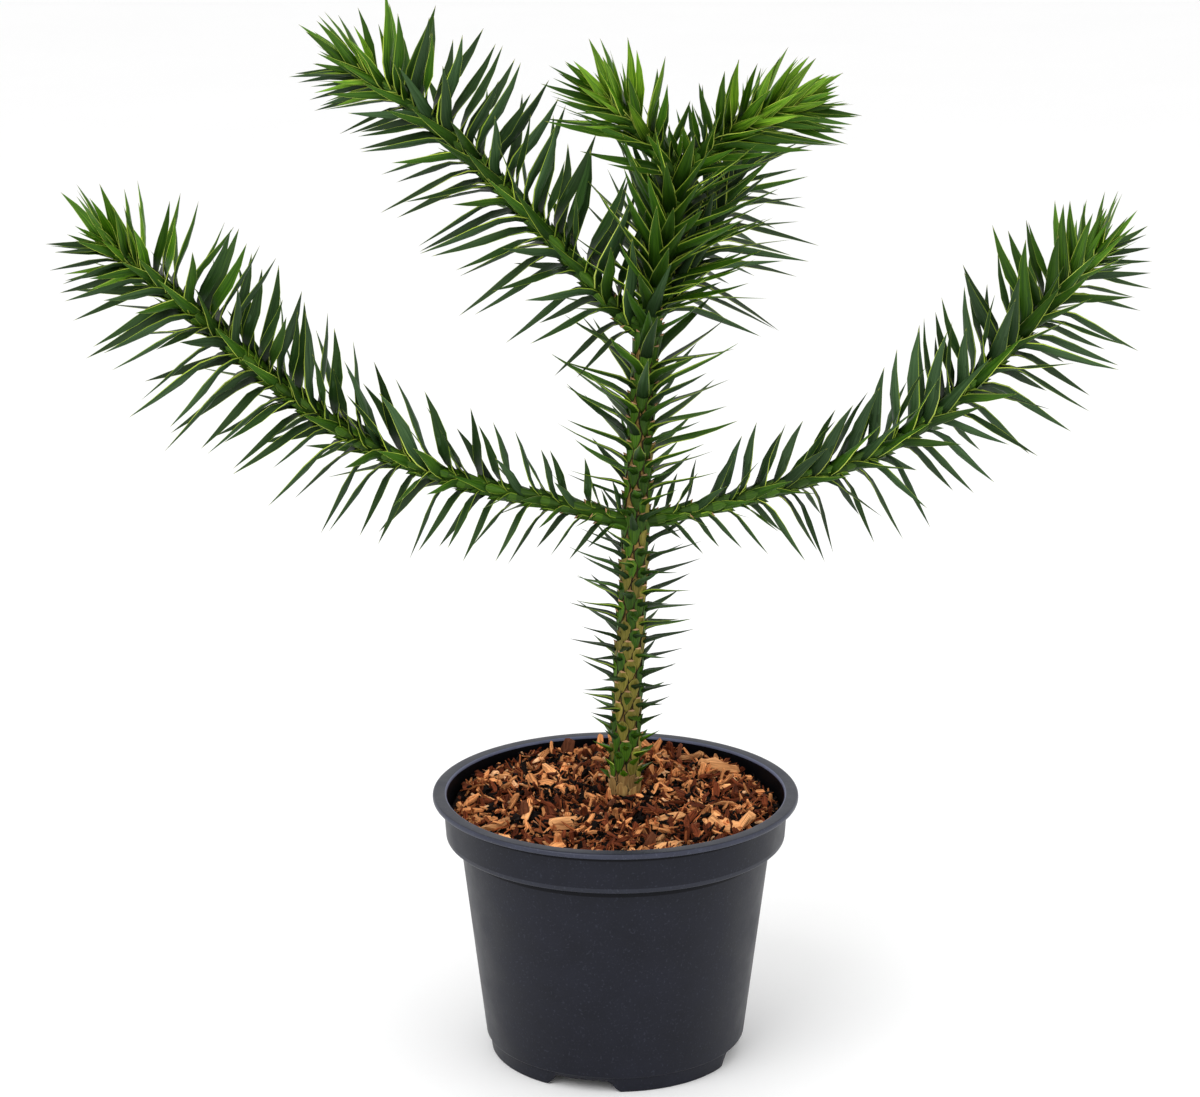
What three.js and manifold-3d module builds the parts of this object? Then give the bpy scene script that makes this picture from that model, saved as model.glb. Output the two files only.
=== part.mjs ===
// Young monkey puzzle tree in a nursery pot: one scaly stem that forks at the top, four boughs in
// two tiers, and stiff leaves set in golden-angle spirals round every limb.
// Millimetres, +Z up. The pot stands on z = 0 and the front of the plant faces -Y.
import * as THREE from 'three';
import { mergeVertices } from 'three/addons/utils/BufferGeometryUtils.js';
import Module from 'manifold-3d';

const wasm = await Module();
wasm.setup();

// Clearance between neighbouring solids, the wider one between crossing shoots, whose facets differ, and the
// distance at which two solids count as touching
const gap = 0.3;
const crossingGap = 0.55;
const touching = 0.294;

// Pot: a tapering moulded shell with a wide band under its lip and a foot ring cut by gaps
const potHeight = 126;
const rimRadius = 85;
const lipThick = 2.6;
const lipRound = 0.9;
const bandTopRadius = 80.2;
const bandFootRadius = 78.9;
const bandFootHeight = 105;
const bodyTopRadius = 72.6;
const bodyFootRadius = 60.8;
const footHeight = 7.7;
const footTopRadius = 59.2;
const footRadius = 58.4;
const footWidth = 3;
const potWall = 1.6;
const lipChamfer = 0.4;
const floorUnder = 6.7;
const floorThick = 2;
const potSides = 40;

// Gaps in the foot ring: bearings run from the front (-Y) towards the right (+X), in degrees
const footGapCount = 4;
const footGapBearing = -15.5;
const footGapFootSpan = 34;
const footGapTopSpan = 25;
const footGapHeight = 5.6;
const footGapCut = { below: 1, inward: 12, length: 18 };
const drainRadius = 5;
const drainReach = 40;
const drainSides = 12;

// Bark mulch: fills the pot, rises to a low mound round the stem and banks up towards the back
const mulchGap = 0.45;
const mulchEdgeHeight = 117;
const mulchMound = 4;
const mulchBackRise = 5.2;
const mulchRipple = { height: 0.9, alongX: 9, alongY: 11 };
const mulchRings = 5;
const seatRadius = 12;
const seatHeight = 119.2;

// Stem: foot of the stem from the pot's axis, length along its axis, rise and radius up its length
const stemFoot = new THREE.Vector3(4.6, 10, seatHeight + gap);
const stemLength = 291;
const stemRises = [90, 87.6, 87.4, 87.8, 86.6, 80.3, 75.4];
const stemRadii = [5.5, 5, 4.7, 4.5, 4.3, 4, 3.4];
const flareReach = 1.2;
const flareLength = 5;
const stemSides = 10;

// Leaf-base scales that clothe a limb make a wall round it
const scaleWall = 1;
const shootSides = 6;
const ringStep = 20;

// Leaf: a flat lance, widest low down, with its root sunk in the shoot. On a shoot the leaves are drawn from
// the flanks to the upper and lower sides, where they are longer, broader and turned edge on.
const goldenAngle = 137.508;
const spiralPull = 0.16;
const spiralLean = 0.14;
const leafBelly = 0.34;
const bellyShare = 0.9;
const leafWidthFoot = 1.2;
const leafWidthShare = 0.111;
const upperBreadth = 0.2;
const flankLoss = 0.3;
const leafIncurve = 0.045;
const leafSideCurve = 0.05;
const faceTurn = { low: 40, high: 74 };
const jitter = { length: 0.11, splay: 9, turn: 9, incurve: 0.05 };

// In the solids three leaves of every five are kept, and all of the rosette at a shoot's tip
const keptLeaves = 3;
const ofLeaves = 5;
const rosette = 7;

// Sleeves of leaves on the stem: where they run along it, in shares of its length, how far a leaf's face may
// twist, how thick it is for its length, and its breadth, length and splay along the sleeve
const sleeves = {
  stem_foot_leaves: {
    from: 0.022, to: 0.43, leaves: 104, seed: 101, twist: 20,
    thick: [0.3, 0.22, 0.14, 0.09, 0.08, 0.07, 0.07], broad: [2.4, 1.7, 1.2, 1, 0.95, 0.95, 0.95],
    lengths: [8, 11, 16, 21, 24, 25, 26], splays: [48, 62, 80, 80, 75, 71, 68],
  },
  stem_middle_leaves: {
    from: 0.485, to: 0.725, leaves: 52, seed: 102, twist: 30,
    thick: [0.05, 0.05], broad: [1, 1], lengths: [30, 38, 41, 43], splays: [68, 66, 64, 60],
  },
  leader_leaves: {
    from: 0.79, to: 0.985, leaves: 74, seed: 103, twist: 34,
    thick: [0.034, 0.034], broad: [1.2, 1.2], lengths: [42, 46, 45, 42], splays: [60, 54, 48, 42],
  },
};
const sleeveSag = 0.1;

// Splay from a shoot's heading along it, for leaves on its upper side, its flanks and its lower side
const leftSplays = {
  upper: [62, 62, 56, 50, 52, 58, 74, 78, 28],
  flank: [36, 34, 32, 30, 30, 30, 32, 30, 16],
  lower: [58, 64, 72, 74, 72, 72, 72, 62, 28],
};
const rightSplays = {
  upper: [64, 64, 56, 52, 60, 70, 68, 66, 28],
  flank: [36, 34, 32, 30, 30, 30, 32, 30, 16],
  lower: [56, 60, 76, 82, 74, 72, 74, 66, 30],
};
const steepSplays = {
  upper: [66, 66, 66, 68, 74, 80, 80, 70, 28],
  flank: [44, 42, 40, 38, 36, 34, 34, 32, 16],
  lower: [76, 77, 72, 70, 64, 59, 52, 42, 22],
};
const backSplays = {
  upper: [60, 62, 62, 60, 54, 42, 14],
  flank: [50, 48, 46, 43, 40, 32, 10],
  lower: [62, 58, 54, 50, 46, 38, 14],
};
const forkSplays = {
  upper: [58, 58, 56, 52, 46, 36, 14],
  flank: [46, 44, 42, 39, 34, 26, 8],
  lower: [38, 36, 34, 32, 29, 24, 10],
};

// Shoots: share of the stem's length where each starts, its bearing (from +X towards +Y), rise and length,
// the radius, leaf breadth and leaf length along it, and how much longer the leaves of its lower side are.
// Leaves sag below a shoot and droop all round it. Those with a bough have wood inside that far.
const shoots = {
  lower_left: {
    root: 0.451, bearings: [194, 206], rises: [22, 15, 25, 40, 45, 38], length: 281, bough: 0.42,
    radii: [3.6, 3.5, 3.4, 3.1, 2], leaves: 184, seed: 11, broad: [1.12, 1.12],
    lengths: [18, 28, 35, 41, 41, 42, 44, 42, 31], splays: leftSplays, sag: 0.1, droop: 0,
    lowerGrowth: [0, 0.02, -0.05, -0.08, -0.06, 0.02, 0.07, 0.03, 0],
  },
  lower_right: {
    root: 0.456, bearings: [6, 20], rises: [10, 13, 18, 37, 45, 41], length: 254, bough: 0.42,
    radii: [3.6, 3.5, 3.4, 3.1, 2], leaves: 168, seed: 12, broad: [1.12, 1.12],
    lengths: [18, 28, 33, 39, 42, 43, 47, 42, 31], splays: rightSplays, sag: 0.1, droop: 0,
    lowerGrowth: [0, 0, -0.02, -0.05, -0.05, 0, 0, 0.04, 0.02],
  },
  upper_left: {
    root: 0.752, bearings: [182, 172], rises: [42, 49, 46.5, 45, 40, 20], length: 177, bough: 0.4,
    radii: [3.6, 3.5, 3.4, 3.1, 2], leaves: 136, seed: 43, broad: [1.05, 1.05],
    lengths: [41, 45, 47, 47, 44, 42, 41, 38, 31], splays: steepSplays, sag: 0.1, droop: 0,
    lowerGrowth: [-0.06, -0.04, 0, 0.04, 0.02, -0.04, -0.08, -0.1, -0.03],
  },
  upper_back: {
    root: 0.768, bearings: [36, 54], rises: [50, 47, 48, 53, 57, 57], length: 107, bough: 0.36,
    radii: [3.4, 3.3, 3.1, 2.8, 2], leaves: 120, seed: 14, broad: [0.85, 0.85],
    lengths: [48, 52, 52, 48, 42, 38, 32], splays: backSplays, sag: 0.1, droop: 0.1,
    lowerGrowth: [0.06, 0.06],
  },
  top_left: {
    root: 1, bearings: [186, 192], rises: [60, 56, 50, 46, 42, 38], length: 48, bough: 0,
    radii: [3.3, 3.2, 2.9, 2.5, 1.8], leaves: 52, seed: 15, broad: [1.15, 1.15],
    lengths: [28, 33, 38, 40, 39, 36, 30], splays: forkSplays, sag: 0.04, droop: 0,
    lowerGrowth: [0.34, 0.32, 0.28, 0.16, 0.06, 0.06, 0.06],
  },
  top_right: {
    root: 1, bearings: [-12, -14], rises: [49, 52, 40, 28, 22, 16], length: 60, bough: 0,
    radii: [3.3, 3.2, 2.9, 2.5, 1.8], leaves: 90, seed: 16, broad: [1.15, 1.15],
    lengths: [28, 33, 37, 40, 40, 37, 30], splays: forkSplays, sag: 0.04, droop: 0,
    lowerGrowth: [0.34, 0.34, 0.34, 0.24, 0.1, 0.06, 0.06],
  },
};
const crowding = 1.4;
const shootTwist = 16;
const shootThick = [0.034, 0.034];
const shootStart = 7.5;
const forkStart = 1.3;

const colours = { pot: 0x34363f, mulch: 0x4a2e1c, wood: 0x6d6a3c, leaf: 0x3f6b34, tip: 0x86a83e };

// Geometry helpers

const radians = THREE.MathUtils.degToRad;
const up = new THREE.Vector3(0, 0, 1);
const back = new THREE.Vector3(0, 1, 0);

// Value at a share from 0 to 1 of a row of evenly spaced values
function along(values, share) {
  const place = THREE.MathUtils.clamp(share, 0, 1) * (values.length - 1);
  const left = Math.min(Math.floor(place), values.length - 2);
  return THREE.MathUtils.lerp(values[left], values[left + 1], place - left);
}

// Repeatable draws from -1 to 1
function seeded(seed) {
  let state = seed;
  return () => {
    state = (state * 1664525 + 1013904223) % 4294967296;
    return state / 2147483648 - 1;
  };
}

// Closed solid from a geometry, with its shared vertices merged
function solidOf(geometry) {
  geometry.deleteAttribute('normal');
  geometry.deleteAttribute('uv');
  const merged = mergeVertices(geometry, 1e-4);
  return new wasm.Manifold(new wasm.Mesh({
    numProp: 3,
    vertProperties: new Float32Array(merged.attributes.position.array),
    triVerts: new Uint32Array(merged.index.array),
  }));
}

// Geometry from a solid, for its mesh
function geometryOf(solid) {
  const mesh = solid.getMesh();
  const geometry = new THREE.BufferGeometry();
  geometry.setAttribute('position', new THREE.BufferAttribute(mesh.vertProperties, mesh.numProp));
  geometry.setIndex(new THREE.BufferAttribute(mesh.triVerts, 1));
  return geometry;
}

// The largest body of a solid: loose scraps are dropped and sealed hollows filled
function mainBody(solid) {
  return solid.decompose().reduce((best, body) => (body.volume() > best.volume() ? body : best));
}

// Solid of revolution round +Z from a closed profile of [radius, height] points
function turned(profile, sides) {
  const points = profile.map(([radius, height]) => new THREE.Vector2(radius, height));
  const geometry = new THREE.LatheGeometry(points, sides);
  geometry.rotateX(Math.PI / 2);
  return solidOf(geometry);
}

// Axis of a limb: it sets out from a start and follows rows of bearings and rises along its length
class LimbAxis extends THREE.Curve {
  constructor(start, bearings, rises, length, reference) {
    super();
    Object.assign(this, { bearings, rises, length, reference });
    const steps = Math.round(length);
    this.points = [start.clone()];
    for (let step = 0; step < steps; step += 1) {
      const last = this.points[step];
      this.points.push(last.clone().addScaledVector(this.getTangent((step + 0.5) / steps), length / steps));
    }
  }

  getTangent(share) {
    const bearing = radians(along(this.bearings, share));
    const rise = radians(along(this.rises, share));
    return new THREE.Vector3(
      Math.cos(bearing) * Math.cos(rise), Math.sin(bearing) * Math.cos(rise), Math.sin(rise));
  }

  getPoint(share) {
    const place = share * (this.points.length - 1);
    const left = Math.min(Math.floor(place), this.points.length - 2);
    return this.points[left].clone().lerp(this.points[left + 1], place - left);
  }

  // Place, heading and two cross directions at a share of the length
  frame(share) {
    const place = this.getPoint(share);
    const heading = this.getTangent(share);
    const lift = this.reference.clone().addScaledVector(heading, -this.reference.dot(heading)).normalize();
    const side = lift.clone().cross(heading);
    return { place, heading, lift, side };
  }
}

// Tapering limb: a turned profile whose axis is bent to follow the limb's own
function limb(axis, from, to, radiusAt, sides) {
  const rings = Math.max(2, Math.round((to - from) * axis.length / ringStep));
  const profile = [new THREE.Vector2(0, from)];
  for (let ring = 0; ring <= rings; ring += 1) {
    const share = THREE.MathUtils.lerp(from, to, ring / rings);
    profile.push(new THREE.Vector2(radiusAt(share), share));
  }
  profile.push(new THREE.Vector2(0, to));
  const geometry = new THREE.LatheGeometry(profile, sides);
  const position = geometry.attributes.position;
  for (let index = 0; index < position.count; index += 1) {
    const { place, lift, side } = axis.frame(position.getY(index));
    place.addScaledVector(lift, position.getX(index)).addScaledVector(side, position.getZ(index));
    position.setXYZ(index, place.x, place.y, place.z);
  }
  return solidOf(geometry);
}

// One leaf's root, direction, bend and size from its place on the spiral and its own draws. Its side of the
// shoot runs from 1 for the upper side to -1 for the lower.
function leafAt(shoot, order, spread, draw) {
  const share = THREE.MathUtils.lerp(shoot.from, shoot.to, spread);
  const { place, heading, lift, side } = shoot.axis.frame(share);
  const [turnDraw, splayDraw, lengthDraw, faceDraw, bendDraw] = Array.from({ length: 5 }, draw);
  const tipped = shoot.tipped ? 1 : 0;
  const spiral = radians(order * goldenAngle + turnDraw * jitter.turn);
  const turn = spiral - tipped * (spiralPull * Math.sin(2 * spiral) + spiralLean * Math.sin(spiral));
  const outward = lift.multiplyScalar(Math.cos(turn)).addScaledVector(side, Math.sin(turn));
  const over = Math.cos(turn) * tipped;
  const sideRow = over > 0 ? shoot.splays.upper : shoot.splays.lower;
  const flankSplay = along(shoot.splays.flank, spread);
  const rowSplay = THREE.MathUtils.lerp(flankSplay, along(sideRow, spread), Math.abs(over));
  const splay = radians(rowSplay + splayDraw * jitter.splay);
  const mix = (ahead, out) => heading.clone().multiplyScalar(ahead).addScaledVector(outward, out);
  const direction = mix(Math.cos(splay), Math.sin(splay));
  const flat = mix(Math.sin(splay), -Math.cos(splay));
  const grown = 1 - along(shoot.lowerGrowth, spread) * over + lengthDraw * jitter.length;
  const length = along(shoot.lengths, spread) * grown * (1 - flankLoss * tipped * (1 - Math.abs(over)));
  const edgeOn = Math.sqrt(Math.abs(over));
  const turned = Math.sign(faceDraw) * faceTurn.low + faceDraw * (faceTurn.high - faceTurn.low);
  const twist = radians(faceDraw * shoot.twist * (1 - edgeOn) + turned * edgeOn);
  const bend = flat.clone().multiplyScalar(leafIncurve * (1 + over) + bendDraw * jitter.incurve);
  bend.addScaledVector(direction.clone().cross(flat), leafSideCurve * splayDraw);
  bend.addScaledVector(up, -shoot.sag * Math.max(0, -outward.z) - shoot.droop);
  const root = place.clone().addScaledVector(outward, shoot.radiusAt(share) * Math.sin(splay));
  const breadth = along(shoot.broad, spread) * (1 + upperBreadth * over);
  const halfWidth = bellyShare * breadth * (leafWidthFoot + leafWidthShare * length) / 2;
  const halfThick = along(shoot.thick, spread) * length / 2;
  const face = flat.applyAxisAngle(direction, twist);
  return { place, root, direction, face, bend, length, halfWidth, halfThick };
}

// Point on a leaf's middle line at a share of its length
function leafLine({ root, direction, bend, length }, share) {
  const straight = root.clone().addScaledVector(direction, share * length);
  return straight.addScaledVector(bend, share * share * length);
}

// Leaf solid: an octahedron drawn out from its sunk root to its tip
function leafSolid(leaf) {
  const across = leaf.direction.clone().cross(leaf.face);
  const stations = { '-1': leaf.place, 0: leafLine(leaf, leafBelly), 1: leafLine(leaf, 1) };
  const geometry = new THREE.OctahedronGeometry(1);
  const position = geometry.attributes.position;
  for (let index = 0; index < position.count; index += 1) {
    const place = stations[Math.round(position.getY(index))].clone();
    place.addScaledVector(across, position.getX(index) * leaf.halfWidth);
    place.addScaledVector(leaf.face, position.getZ(index) * leaf.halfThick);
    position.setXYZ(index, place.x, place.y, place.z);
  }
  return solidOf(geometry);
}

// Leaves of one shoot, in order along its spiral
function leavesOf(shoot) {
  const draw = seeded(shoot.seed);
  const leaves = [];
  for (let order = 0; order < shoot.leaves; order += 1) {
    const spread = 1 - (1 - order / (shoot.leaves - 1)) ** shoot.crowding;
    const leaf = leafAt(shoot, order, spread, draw);
    const inRosette = shoot.tipped && order >= shoot.leaves - rosette;
    if ((order * keptLeaves) % ofLeaves < keptLeaves || inRosette) leaves.push(leafSolid(leaf));
  }
  return leaves;
}

// Pot

function potSolid() {
  const floorTop = floorUnder + floorThick;
  const slope = (bodyTopRadius - bodyFootRadius) / (bandFootHeight - footHeight);
  const innerAt = (height) => bodyFootRadius + slope * (height - footHeight) - potWall;
  const lipFoot = potHeight - lipThick;
  const shell = turned([
    [0, floorUnder], [footRadius - footWidth, floorUnder], [footRadius - footWidth, 0], [footRadius, 0],
    [footTopRadius, footHeight], [bodyFootRadius, footHeight], [bodyTopRadius, bandFootHeight],
    [bandFootRadius, bandFootHeight], [bandTopRadius, lipFoot], [rimRadius - lipRound, lipFoot],
    [rimRadius, lipFoot + lipRound], [rimRadius, potHeight - lipRound], [rimRadius - lipRound, potHeight],
    [bandTopRadius - potWall + lipChamfer, potHeight], [bandTopRadius - potWall, potHeight - lipRound],
    [bandFootRadius - potWall, bandFootHeight + potWall],
    [innerAt(bandFootHeight), bandFootHeight + potWall], [innerAt(floorTop), floorTop], [0, floorTop],
  ], potSides);
  const footTan = Math.tan(radians(footGapFootSpan / 2));
  const topTan = Math.tan(radians(footGapTopSpan / 2));
  const outline = new THREE.Shape();
  outline.moveTo(-footRadius * footTan, -footGapCut.below);
  outline.lineTo(footRadius * footTan, -footGapCut.below);
  outline.lineTo(footRadius * topTan, footGapHeight);
  outline.lineTo(-footRadius * topTan, footGapHeight);
  outline.closePath();
  let cut = shell;
  for (let index = 0; index < footGapCount; index += 1) {
    const bearing = radians(footGapBearing + index * 360 / footGapCount);
    const notch = new THREE.ExtrudeGeometry(outline, { depth: footGapCut.length, bevelEnabled: false });
    notch.rotateX(Math.PI / 2);
    notch.translate(0, -footRadius + footGapCut.inward, 0);
    notch.rotateZ(bearing);
    const drain = new THREE.CylinderGeometry(drainRadius, drainRadius, floorThick * 4, drainSides);
    drain.rotateX(Math.PI / 2);
    drain.translate(0, -drainReach, footHeight);
    drain.rotateZ(bearing);
    cut = cut.subtract(solidOf(notch)).subtract(solidOf(drain));
  }
  return mainBody(cut);
}

// Mulch: turned to fit inside the pot's wall, with a mounded, banked and slightly rippled top
function mulchSolid() {
  const floorTop = floorUnder + floorThick + gap;
  const slope = (bodyTopRadius - bodyFootRadius) / (bandFootHeight - footHeight);
  const wallAt = (height) => bodyFootRadius + slope * (height - footHeight) - potWall - mulchGap;
  const ledge = bandFootHeight + potWall + gap;
  const edgeRadius = bandFootRadius - potWall - mulchGap;
  const profile = [[0, floorTop], [wallAt(floorTop), floorTop], [wallAt(ledge), ledge], [edgeRadius, ledge]];
  for (let ring = mulchRings; ring >= 0; ring -= 1) {
    const share = ring / mulchRings;
    profile.push([edgeRadius * share, mulchEdgeHeight + mulchMound * (1 - share * share)]);
  }
  const points = profile.map(([radius, height]) => new THREE.Vector2(radius, height));
  const geometry = new THREE.LatheGeometry(points, potSides / 2);
  geometry.rotateX(Math.PI / 2);
  const position = geometry.attributes.position;
  for (let index = 0; index < position.count; index += 1) {
    const x = position.getX(index);
    const y = position.getY(index);
    const ripple = mulchRipple.height * Math.sin(x / mulchRipple.alongX) * Math.cos(y / mulchRipple.alongY);
    const lift = ripple + mulchBackRise * y / edgeRadius;
    if (position.getZ(index) > ledge + mulchRipple.height) position.setZ(index, position.getZ(index) + lift);
  }
  const seat = new THREE.CylinderGeometry(seatRadius, seatRadius, mulchMound * 4, stemSides * 2);
  seat.rotateX(Math.PI / 2);
  seat.translate(stemFoot.x, stemFoot.y, seatHeight + mulchMound * 2);
  return mainBody(solidOf(geometry).subtract(solidOf(seat)));
}

// Limbs: the stem, then the axis and radius of each sleeve and shoot

const stemAxis = new LimbAxis(stemFoot, [0, 0], stemRises, stemLength, back);
const flareAt = (share) => flareReach * Math.exp(-share * stemLength / flareLength);
const stemRadiusAt = (share) => along(stemRadii, share) + flareAt(share);
const stem = limb(stemAxis, 0, 1, stemRadiusAt, stemSides);
const stemClear = limb(stemAxis, 0, 1 + gap / stemLength, (share) => stemRadiusAt(share) + gap, stemSides);

for (const sleeve of Object.values(sleeves)) {
  const { splays } = sleeve;
  Object.assign(sleeve, { axis: stemAxis, crowding: 1, tipped: false, sag: sleeveSag, droop: 0 });
  sleeve.splays = { upper: splays, flank: splays, lower: splays };
  sleeve.lowerGrowth = [0, 0];
  sleeve.radiusAt = (share) => along(stemRadii, share) + gap + scaleWall;
  sleeve.core = limb(stemAxis, sleeve.from, sleeve.to, sleeve.radiusAt, stemSides);
  sleeve.clear = stemClear;
}

for (const shoot of Object.values(shoots)) {
  shoot.axis = new LimbAxis(stemAxis.getPoint(shoot.root), shoot.bearings, shoot.rises, shoot.length, up);
  shoot.from = (shoot.bough > 0 ? shootStart : forkStart) / shoot.length;
  Object.assign(shoot, { to: 1, crowding, tipped: true, twist: shootTwist, thick: shootThick });
  shoot.radiusAt = (share) => along(shoot.radii, share);
  shoot.core = limb(shoot.axis, shoot.from, shoot.to, shoot.radiusAt, shootSides);
  shoot.clear = stemClear;
  if (shoot.bough > 0) {
    const woodAt = (share) => along(shoot.radii, share) - scaleWall - gap;
    const reach = shoot.bough + gap / shoot.length;
    shoot.wood = limb(shoot.axis, 0, shoot.bough, woodAt, shootSides).subtract(stemClear);
    const woodClear = limb(shoot.axis, 0, reach, (share) => woodAt(share) + gap, shootSides);
    shoot.clear = stemClear.add(woodClear);
  }
}

// Where cores would meet, the later one is cut clear of the earlier
function cutClear(growth, shoot) {
  const clear = limb(shoot.axis, 0, 1, (share) => shoot.radiusAt(share) + crossingGap, shootSides);
  growth.clear = growth.clear.add(clear);
}
for (const shoot of Object.values(shoots)) {
  for (const sleeve of Object.values(sleeves)) cutClear(sleeve, shoot);
}
cutClear(shoots.top_right, shoots.top_left);
cutClear(shoots.upper_back, shoots.upper_left);

// Masses: each core with the leaves that keep clear of every other core, limb and finished mass

const growths = { ...sleeves, ...shoots };

function touches(leaf, solid) {
  const a = leaf.boundingBox();
  const b = solid.boundingBox();
  const apart = [0, 1, 2].some((axis) => a.min[axis] > b.max[axis] + gap || b.min[axis] > a.max[axis] + gap);
  return !apart && leaf.minGap(solid, gap) < touching;
}

function growMass(name) {
  const { core, clear } = growths[name];
  const others = Object.keys(growths).filter((other) => other !== name);
  const solids = others.map((other) => growths[other].mass ?? growths[other].bare);
  if (!(name in sleeves)) solids.push(stem);
  const fitting = leavesOf(growths[name])
    .filter((leaf) => !solids.some((solid) => touches(leaf.subtract(clear), solid)));
  return mainBody(wasm.Manifold.union([core, ...fitting]).subtract(clear));
}

for (const growth of Object.values(growths)) growth.bare = growth.core.subtract(growth.clear);
for (const name of Object.keys(growths)) growths[name].mass = growMass(name);

// Scene graph: every sub-part is a named mesh with its own finish

function part(name, solid, color, roughness) {
  const material = new THREE.MeshStandardMaterial({ color, roughness, metalness: 0 });
  const mesh = new THREE.Mesh(geometryOf(solid), material);
  mesh.name = name;
  return mesh;
}

const plant = new THREE.Group();
plant.add(part('pot', potSolid(), colours.pot, 0.5));
plant.add(part('bark_mulch', mulchSolid(), colours.mulch, 0.9));
plant.add(part('stem', stem, colours.wood, 0.75));
for (const [name, { mass }] of Object.entries(sleeves)) plant.add(part(name, mass, colours.leaf, 0.45));
for (const [name, { mass, wood }] of Object.entries(shoots)) {
  if (wood) plant.add(part(`${name}_bough`, mainBody(wood), colours.wood, 0.75));
  plant.add(part(`${name}_leaves`, mass, wood ? colours.leaf : colours.tip, 0.45));
}

// The origin lies under the middle of the whole plant's box, at the level of the pot's underside
const box = new THREE.Box3().setFromObject(plant);
const middle = box.getCenter(new THREE.Vector3());
plant.position.set(-middle.x, -middle.y, -box.min.z);

const tree = new THREE.Group();
tree.add(plant);

export default tree;
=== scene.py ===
import math

import bpy
import numpy as np
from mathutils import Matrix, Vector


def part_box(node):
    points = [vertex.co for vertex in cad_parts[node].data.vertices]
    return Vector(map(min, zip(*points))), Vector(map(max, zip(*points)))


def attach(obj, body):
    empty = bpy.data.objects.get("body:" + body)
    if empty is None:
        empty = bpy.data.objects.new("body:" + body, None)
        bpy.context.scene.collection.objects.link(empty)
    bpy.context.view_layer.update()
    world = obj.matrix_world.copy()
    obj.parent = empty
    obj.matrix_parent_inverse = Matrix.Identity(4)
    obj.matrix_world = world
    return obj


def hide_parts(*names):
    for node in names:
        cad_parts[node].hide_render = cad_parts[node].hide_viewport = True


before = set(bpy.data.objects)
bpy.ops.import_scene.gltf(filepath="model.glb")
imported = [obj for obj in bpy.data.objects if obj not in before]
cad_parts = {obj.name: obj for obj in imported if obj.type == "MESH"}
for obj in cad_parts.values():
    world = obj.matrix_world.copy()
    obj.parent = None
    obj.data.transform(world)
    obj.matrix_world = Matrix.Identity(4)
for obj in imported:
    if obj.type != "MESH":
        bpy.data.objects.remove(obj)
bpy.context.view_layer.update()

# Shapes are worked out in millimetres from the pot's axis and put into the row frame in metres
mm = 0.001
potLow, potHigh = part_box("pot")
plantShift = np.array([(potLow.x + potHigh.x) / 2, (potLow.y + potHigh.y) / 2, potLow.z])


# Shape tools

# Value at a share of a row of evenly spaced values, blended straight between neighbours
def along(values, share):
    return np.interp(share, np.linspace(0, 1, len(values)), values)


drawRule = {"times": 1664525, "plus": 1013904223, "states": 2 ** 32}


# Repeatable draws from -1 to 1: each state is the last one times a number plus another, within 32 bits
def seededDraws(seed, rows, columns):
    state = seed
    draws = []
    for _ in range(rows * columns):
        state = (state * drawRule["times"] + drawRule["plus"]) % drawRule["states"]
        draws.append(2 * state / drawRule["states"] - 1)
    return np.array(draws).reshape(rows, columns)


# Sum of sine waves over two parameters, with whole turns in the second, so that it closes round a limb
def ripples(first, second, waves, seed):
    draw = np.random.default_rng(seed)
    total = np.zeros(np.broadcast(first, second).shape)
    for height, lowest, highest, turns in waves:
        pace = draw.uniform(lowest, highest)
        whole = draw.integers(-turns, turns + 1)
        start = draw.uniform(0, 7)  # anywhere in a turn
        total += height * np.sin(first * pace + second * whole + start)
    return total


# Closed bodies from rings of points: quads join ring to ring, and each end is a fan to its point or one
# flat face. The row, column and body of each face are kept for its finish
def ringBodies(rings, start=None, end=None):
    count, rows, columns = rings.shape[:3]
    size = rows * columns
    points = [rings.reshape(count, size, 3)]
    first = np.arange(size).reshape(rows, columns)
    following = np.roll(first, -1, axis=1)
    quads = np.stack([first[:-1], following[:-1], following[1:], first[1:]], axis=-1).reshape(-1, 4)
    local = [quads]
    labels = [np.indices((rows - 1, columns)).reshape(2, -1)]
    for tip, row, ring in ((start, 0, following), (end, rows - 1, first)):
        other = first if row == 0 else following
        if tip is None:
            local.append(ring[row][::-1][None] if row == 0 else ring[row][None])
            labels.append(np.array([[row], [-1]]))
            continue
        points.append(tip.reshape(count, 1, 3))
        fan = np.stack([np.full(columns, size), ring[row], other[row]], axis=-1)
        size += 1
        local.append(fan)
        labels.append(np.stack([np.full(columns, row), np.arange(columns)]))
    shift = np.arange(count)[:, None, None] * size
    faces = [(part[None] + shift).reshape(-1, part.shape[1]) for part in local]
    rowOf = np.concatenate([np.tile(label[0], count) for label in labels])
    columnOf = np.concatenate([np.tile(label[1], count) for label in labels])
    bodyOf = np.concatenate([np.repeat(np.arange(count), label.shape[1]) for label in labels])
    return {"points": np.concatenate(points, axis=1).reshape(-1, 3), "faces": faces, "each": size,
            "row": rowOf, "column": columnOf, "body": bodyOf}


# A value for each ring point of each body, with the end points given theirs, in the order of the points
def ringValues(values, *ends):
    count, width = values.shape[0], values.shape[-1]
    rows = [values.reshape(count, -1, width)]
    rows += [np.broadcast_to(np.array(end, float), (count, 1, width)) for end in ends]
    return np.concatenate(rows, axis=1).reshape(-1, width)


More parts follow.
